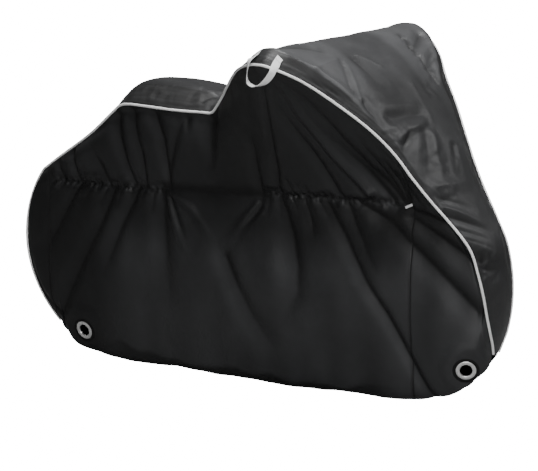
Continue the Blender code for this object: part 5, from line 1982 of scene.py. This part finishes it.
EYELET_OUTLINE = (
    (0.0320, 0.0013), (0.0318, 0.0022), (0.0308, 0.0029), (0.0290, 0.0034), (0.0262, 0.0037),
    (0.0234, 0.0036), (0.0212, 0.0030), (0.0200, 0.0019), (0.0195, 0.0004), (0.0195, -0.0016),
    (0.0200, -0.0024), (0.0212, -0.0028), (0.0276, -0.0024), (0.0284, -0.0018),
    (0.0282, -0.0012), (0.0207, -0.0012), (0.0206, 0.0013),
)
PATCH_OUTLINE = (
    (0.0420, 0.0009), (0.0420, 0.0015), (0.0415, 0.0019), (0.0380, 0.0020), (0.0300, 0.0018),
    (0.0215, 0.0012), (0.0215, 0.0008), (0.0300, 0.0008),
)


@dataclass
class Stitching:
    """Many stitches of thread in one piece."""

    name: str
    pitch: float = 0.0048        # from one stitch to the next
    length: float = 0.0036       # of the thread that shows
    radius: float = 0.00042      # of the thread
    places: list[Grid] = field(default_factory=list)

    def row(self, line: Grid, normal: Grid) -> None:
        """Adds stitches along a line.

        Args:
            line: (n, 3) points of the line in the bicycle frame, on the face of the cloth.
            normal: (n, 3) outward normals.
        """
        run = run_lengths(line[None], 1)[0]
        count = max(int(run[-1] / self.pitch), 1)
        middle = (np.arange(count) + 0.5) * run[-1] / count

        def along(values: Grid, at: Grid) -> Grid:
            """Values at lengths along the line."""
            return np.stack([np.interp(at, run, values[:, k]) for k in range(3)], axis=1)

        reach = self.length / 2
        ahead, behind = along(line, middle + reach), along(line, middle - reach)
        forward = unit(ahead - behind)
        up = along(normal, middle)
        up = unit(up - forward * np.sum(up * forward, axis=1, keepdims=True))
        self.places.append(np.stack((along(line, middle), forward, np.cross(up, forward), up), axis=1))

    def make(self, material: Material) -> Object:
        """Builds one stitch and copies it to every place.

        Args:
            material: finish of the thread.

        Returns:
            The object.
        """
        made = open_primitive(self.name, bpy.ops.mesh.primitive_uv_sphere_add, segments=5,
                              ring_count=4, radius=1.0)
        bpy.ops.transform.rotate(value=math.pi / 2, orient_axis="Y", center_override=(0, 0, 0))
        bpy.ops.transform.resize(value=(self.length / 2, self.radius, self.radius),
                                 center_override=(0, 0, 0))
        bpy.ops.object.mode_set(mode="OBJECT")
        one = np.array([v.co for v in made.data.vertices])
        loops = [list(p.vertices) for p in made.data.polygons]
        frames = np.concatenate(self.places)
        points = frames[:, None, 0] + np.einsum("vk,nkc->nvc", one, frames[:, 1:])
        step = len(one)
        faces = [[k + step * n for k in loop] for n in range(len(frames)) for loop in loops]
        mesh = cloth_mesh(self.name, points.reshape(-1, 3), faces,
                          np.tile(one[:, :2], (len(frames), 1)))
        face_outwards(mesh)
        dress(mesh, material)
        old = made.data
        made.data = mesh
        bpy.data.meshes.remove(old)
        return made


@dataclass
class SewnTab:
    """Short folded tape that anchors the front end of an elastic."""

    side: Side
    place: tuple[float, float] = (1.162, 0.624)
    size: tuple[float, float, float] = (0.028, 0.0016, 0.008)
    tilt_deg: float = 24.0

    def make(self, name: str, cloth: BVHTree, material: Material) -> tuple[Object, tuple[Grid, Grid]]:
        """Builds the tab on the cloth.

        Args:
            name: name of the piece.
            cloth: search tree of the panel under it.
            material: its finish.

        Returns:
            The object, and its line of stitches with normals.
        """
        sign = self.side.value
        made = open_primitive(name, bpy.ops.mesh.primitive_cube_add, size=1.0)
        bpy.ops.transform.resize(value=self.size, center_override=(0, 0, 0))
        bpy.ops.mesh.subdivide(number_cuts=5)
        bpy.ops.mesh.select_all(action="SELECT")
        bpy.ops.mesh.remove_doubles(threshold=0.00001)
        bpy.ops.object.mode_set(mode="OBJECT")
        tilt = math.radians(self.tilt_deg)
        turn = Matrix.Rotation(-tilt, 4, "Y")
        made.data.transform(turn)
        start = Vector((self.place[0], sign * 0.5, self.place[1])) + Vector(SHIFT)
        reach = 0.0
        for v in made.data.vertices:
            hit = cloth.ray_cast(start + Vector((v.co.x, 0, v.co.z)), Vector((0, -sign, 0)))[0]
            reach = max(reach, abs(hit.y))
        seat = Vector((self.place[0], sign * (reach + self.size[1] / 2 + REST_GAP),
                       self.place[1])) + Vector(SHIFT)
        made.data.transform(Matrix.Translation(seat))
        soften_edges(made, width=0.0006, segments=3)
        map_cloth(made.data, np.array([(v.co.x, v.co.z) for v in made.data.vertices]))
        for extra in [u for u in made.data.uv_layers if u.name != "cloth"]:
            made.data.uv_layers.remove(extra)
        dress(made.data, material)
        centre = np.array(seat) - SHIFT
        run = np.array((math.cos(tilt), 0.0, math.sin(tilt))) * self.size[0] * 0.40
        wide = np.array((-math.sin(tilt), 0.0, math.cos(tilt))) * self.size[2] * 0.30
        out = np.array((0.0, sign, 0.0))
        centre = centre + out * self.size[1] * THREAD_RISE
        line = np.array((centre - run - wide, centre + run - wide, centre + run + wide,
                         centre - run + wide, centre - run - wide))
        return made, (line, np.broadcast_to(out, line.shape))


# ---- the whole cover ----------------------------------------------------------------------
FINISHES = {
    # side and top are one coated cloth; the top's colour is three times paler, painted light on its
    # upward faces
    "side_cloth": CoatedCloth("side_cloth_coated", (0.0105, 0.0107, 0.0112), 0.49, 0.38),
    "top_cloth": CoatedCloth("top_cloth_coated", (0.0315, 0.0319, 0.0330), 0.40, 0.50),
    "piping": WovenTape("piping_white", (0.95, 0.95, 0.94), 0.48),
    "webbing": WovenTape("webbing_grey", (0.86, 0.86, 0.86), 0.62, threads=620.0),
    "dark_thread": WovenTape("thread_black", (0.018, 0.018, 0.019), 0.55),
    "light_thread": WovenTape("thread_grey", (0.45, 0.45, 0.45), 0.55),
    "eyelet": Metal("eyelet_plated", (0.94, 0.94, 0.93), 0.34),
}


def settle(obj: Object, slot: str, *nodes: str) -> Object:
    """Sets a finished piece on the body, in place of its nodes.

    Args:
        obj: the piece.
        slot: not used.
        nodes: nodes it stands for.

    Returns:
        The piece.
    """
    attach(obj, "root")
    if nodes:
        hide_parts(*nodes)
    LOG.info("%s: %d faces, stands for %s", obj.name, len(obj.data.polygons),
             ", ".join(nodes) or "nothing")
    return obj


class BicycleCover:
    """The fitted cover with all its pieces."""

    def __init__(self) -> None:
        """Prepares the finishes and the cloth."""
        groups = EffectGroups()
        self.finish = {name: finish.make(groups) for name, finish in FINISHES.items()}
        self.top = TopCloth()
        self.panels = TopPanels(self.top)

    def build(self) -> None:
        """Builds every piece."""
        strip = settle(self.panels.strip().make(self.finish["top_cloth"]), "top_cloth", "centre_strip")
        stitches = Stitching("stitches_top")
        for side in Side:
            self.build_side(side, stitches)
        sewn = settle(stitches.make(self.finish["dark_thread"]), "top_cloth")

    def build_side(self, side: Side, stitches: Stitching) -> None:
        """Builds the wing, the side panels and the trim of one side.

        Args:
            side: side of the cover.
            stitches: takes the stitches of the top.
        """
        word = side.word
        wing = settle(self.panels.wing(side).make(self.finish["top_cloth"]),
                      "top_cloth", f"wing_{word}")
        cloth = SideCloth(side)
        rear, main_panel, front = [sheet.make(self.finish["side_cloth"]) for sheet in cloth.sheets()]
        for panel, node in ((rear, "side_rear"), (main_panel, "side_main"), (front, "side_front")):
            settle(panel, "side_cloth", f"{node}_{word}")
        piping, line, normal = Piping(side, self.top).make(
            f"edge_piping_{word}", self.finish["piping"])
        settle(piping, "piping", f"piping_{word}")
        stitches.row(line, normal)
        side_stitches = Stitching(f"stitches_{word}")
        self.sew_side(cloth, side_stitches)
        loop, lines = WebbingLoop(side).make(f"webbing_loop_{word}", tree_of(wing),
                                             self.finish["webbing"])
        settle(loop, "webbing", f"loop_{word}")
        tab, tab_line = SewnTab(side).make(f"sewn_tab_{word}", tree_of(main_panel),
                                           self.finish["webbing"])
        settle(tab, "webbing", f"tab_{word}")
        light = Stitching(f"tacks_{word}", pitch=0.0030, length=0.0026)
        for box in (*lines, tab_line):
            light.row(*box)
        sewn = settle(side_stitches.make(self.finish["dark_thread"]), "side_cloth")
        tacks = settle(light.make(self.finish["light_thread"]), "webbing")
        hardware = {where: self.fit_eyelet(cloth, where) for where in cloth.eyelets}
        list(hardware["rear"])
        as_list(hardware["front"])

    def fit_eyelet(self, cloth: SideCloth, where: str) -> list[Object]:
        """Patch and metal eyelet at one place.

        Args:
            cloth: the side they are on.
            where: "rear" or "front".

        Returns:
            The patch and the eyelet.
        """
        word = cloth.side.word
        centre, normal = cloth.seats[where]
        turn = Vector(normal).to_track_quat("Z", "Y").to_matrix().to_4x4()
        seat = Matrix.Translation(Vector(centre + SHIFT)) @ turn
        patch = Turned(PATCH_OUTLINE).make(f"round_patch_{where}_{word}", seat,
                                           self.finish["side_cloth"])
        ring = Turned(EYELET_OUTLINE).make(f"metal_eyelet_{where}_{word}", seat, self.finish["eyelet"])
        settle(patch, "side_cloth", f"eyelet_patch_{where}_{word}")
        settle(ring, "eyelet", f"eyelet_{where}_{word}")
        return [patch, ring]

    def sew_side(self, cloth: SideCloth, stitches: Stitching) -> None:
        """Stitches along the elastic, the upright seams and the hem of one side.

        Args:
            cloth: the side.
            stitches: takes the stitches.
        """
        normal = grid_normals(cloth.points, cloth.flip)
        face = cloth.points + normal * (CLOTH / 2 + REST_GAP)
        base = cloth.base
        away = base[..., 2] - ELASTIC.at(1, base[..., 0])
        down = run_lengths(base, 1)
        up = down[:, -1:] - down
        x = base[:, 0, 0]

        def across(keep: Grid, values: Grid, want: float) -> tuple[Grid, Grid]:
            """Line through the columns kept, where values fall to want."""
            points, normals = [], []
            for k in np.flatnonzero(keep):
                order = np.argsort(values[k])
                points.append([np.interp(want, values[k][order], face[k, order, c]) for c in range(3)])
                normals.append([np.interp(want, values[k][order], normal[k, order, c])
                                for c in range(3)])
            return np.array(points), unit(np.array(normals))

        for run in ELASTIC_RUNS:
            inside = (x > run.start + 0.004) & (x < run.end - 0.004)
            for offset in (-0.0045, 0.0045):
                stitches.row(*across(inside, away, offset))
        tall = down[:, -1] > 0.12
        stitches.row(*across(tall & (x > -0.22), up, cloth.hem_depth - 0.002))
        for cut, step in ((SEAM_REAR_X, 0.006), (SEAM_FRONT_X, -0.006)):
            k = int(np.argmin(np.abs(x - cut - step)))
            stitches.row(face[k, 3:-2], normal[k, 3:-2])


class Studio:
    """Camera, lights and floor."""

    AZIMUTH, ELEVATION = math.radians(35.0), math.radians(10.5)
    TARGET = Vector((-0.233, 0.0, -0.6554))
    DISTANCE, LENS, SENSOR = 12.0, 249.7, 36.0
    AIM = Vector((-0.1, 0.0, -0.5))      # where the lights point
    SHOWN, AROUND = 18.0, 0.11           # white as it is seen, and as it lights the cover

    def camera(self) -> None:
        """Camera in front and to the right of the cover."""
        data = bpy.data.cameras.new("camera")
        data.lens, data.sensor_width = self.LENS, self.SENSOR
        data.clip_end = 200.0
        made = put_object("camera", data)
        back = Vector((math.cos(self.ELEVATION) * math.sin(self.AZIMUTH),
                       -math.cos(self.ELEVATION) * math.cos(self.AZIMUTH), math.sin(self.ELEVATION)))
        made.location = self.TARGET + back * self.DISTANCE
        made.rotation_euler = back.to_track_quat("Z", "Y").to_euler()
        bpy.context.scene.camera = made

    def light(self, name: str, place: tuple[float, float, float], size: float, power: float) -> None:
        """Soft square light that shines on the cover.

        Args:
            name: name of the light.
            place: where it stands.
            size: length of its sides.
            power: in watts.
        """
        data = bpy.data.lights.new(name, "AREA")
        data.shape, data.size, data.energy = "SQUARE", size, power
        made = put_object(name, data)
        made.location = place
        made.rotation_euler = (Vector(place) - self.AIM).to_track_quat("Z", "Y").to_euler()

    def _show_white(self, tree: NodeTree, lit: str, kind: str, out: str) -> None:
        """Shows a surface white, while it lights the cover as its own shader says.

        Args:
            tree: the surface's nodes.
            lit: name of the shader that lights the cover.
            kind: type of the shader that is seen.
            out: name of the output node.
        """
        bench = NodeBench(tree)
        shown = bench.put(kind, Strength=self.SHOWN)
        ray = bench.put("ShaderNodeLightPath")
        mix = bench.put("ShaderNodeMixShader", Fac=ray.outputs["Is Camera Ray"])
        link(tree, (tree.nodes[lit].outputs[0], mix.inputs[1]), (shown.outputs[0], mix.inputs[2]),
             (mix.outputs[0], tree.nodes[out].inputs[0]))

    def surroundings(self) -> None:
        """White backdrop that gives a low, even light."""
        world = bpy.data.worlds.new("studio")
        bpy.context.scene.world = world
        world.use_nodes = True
        around = world.node_tree.nodes["Background"]
        around.inputs["Color"].default_value = (1.0, 1.0, 1.0, 1.0)
        around.inputs["Strength"].default_value = self.AROUND
        self._show_white(world.node_tree, "Background", "ShaderNodeBackground", "World Output")

    def floor(self) -> None:
        """White floor right under the hem."""
        bpy.ops.object.select_all(action="DESELECT")
        low = CAD_BOX[0][2]
        bpy.ops.mesh.primitive_plane_add(size=120.0, location=(0, 0, 0))
        made = bpy.context.object
        made.name = "floor"
        made.data.transform(Matrix.Translation((0, 0, low - 0.002)))
        material = bpy.data.materials.new("floor_white")
        material.use_nodes = True
        shader = material.node_tree.nodes["Principled BSDF"]
        shader.inputs["Base Color"].default_value = (0.25, 0.25, 0.25, 1.0)
        shader.inputs["Roughness"].default_value = 0.9
        self._show_white(material.node_tree, "Principled BSDF", "ShaderNodeEmission", "Material Output")
        made.data.materials.append(material)

    def build(self) -> None:
        """Sets up the studio."""
        self.camera()
        self.surroundings()
        self.light("top_light", (0.2, -0.2, 3.6), 1.8, 230.0)
        self.light("near_light", (2.9, -3.9, 1.3), 1.4, 145.0)
        self.light("far_light", (3.0, 2.5, 3.0), 1.4, 38.0)
        self.floor()


def main() -> None:
    """Builds the studio and the cover, and logs the faces of each piece."""
    logging.basicConfig(level=logging.INFO, format="%(name)s: %(message)s")
    Studio().build()
    BicycleCover().build()


if __name__ == "__main__":
    main()
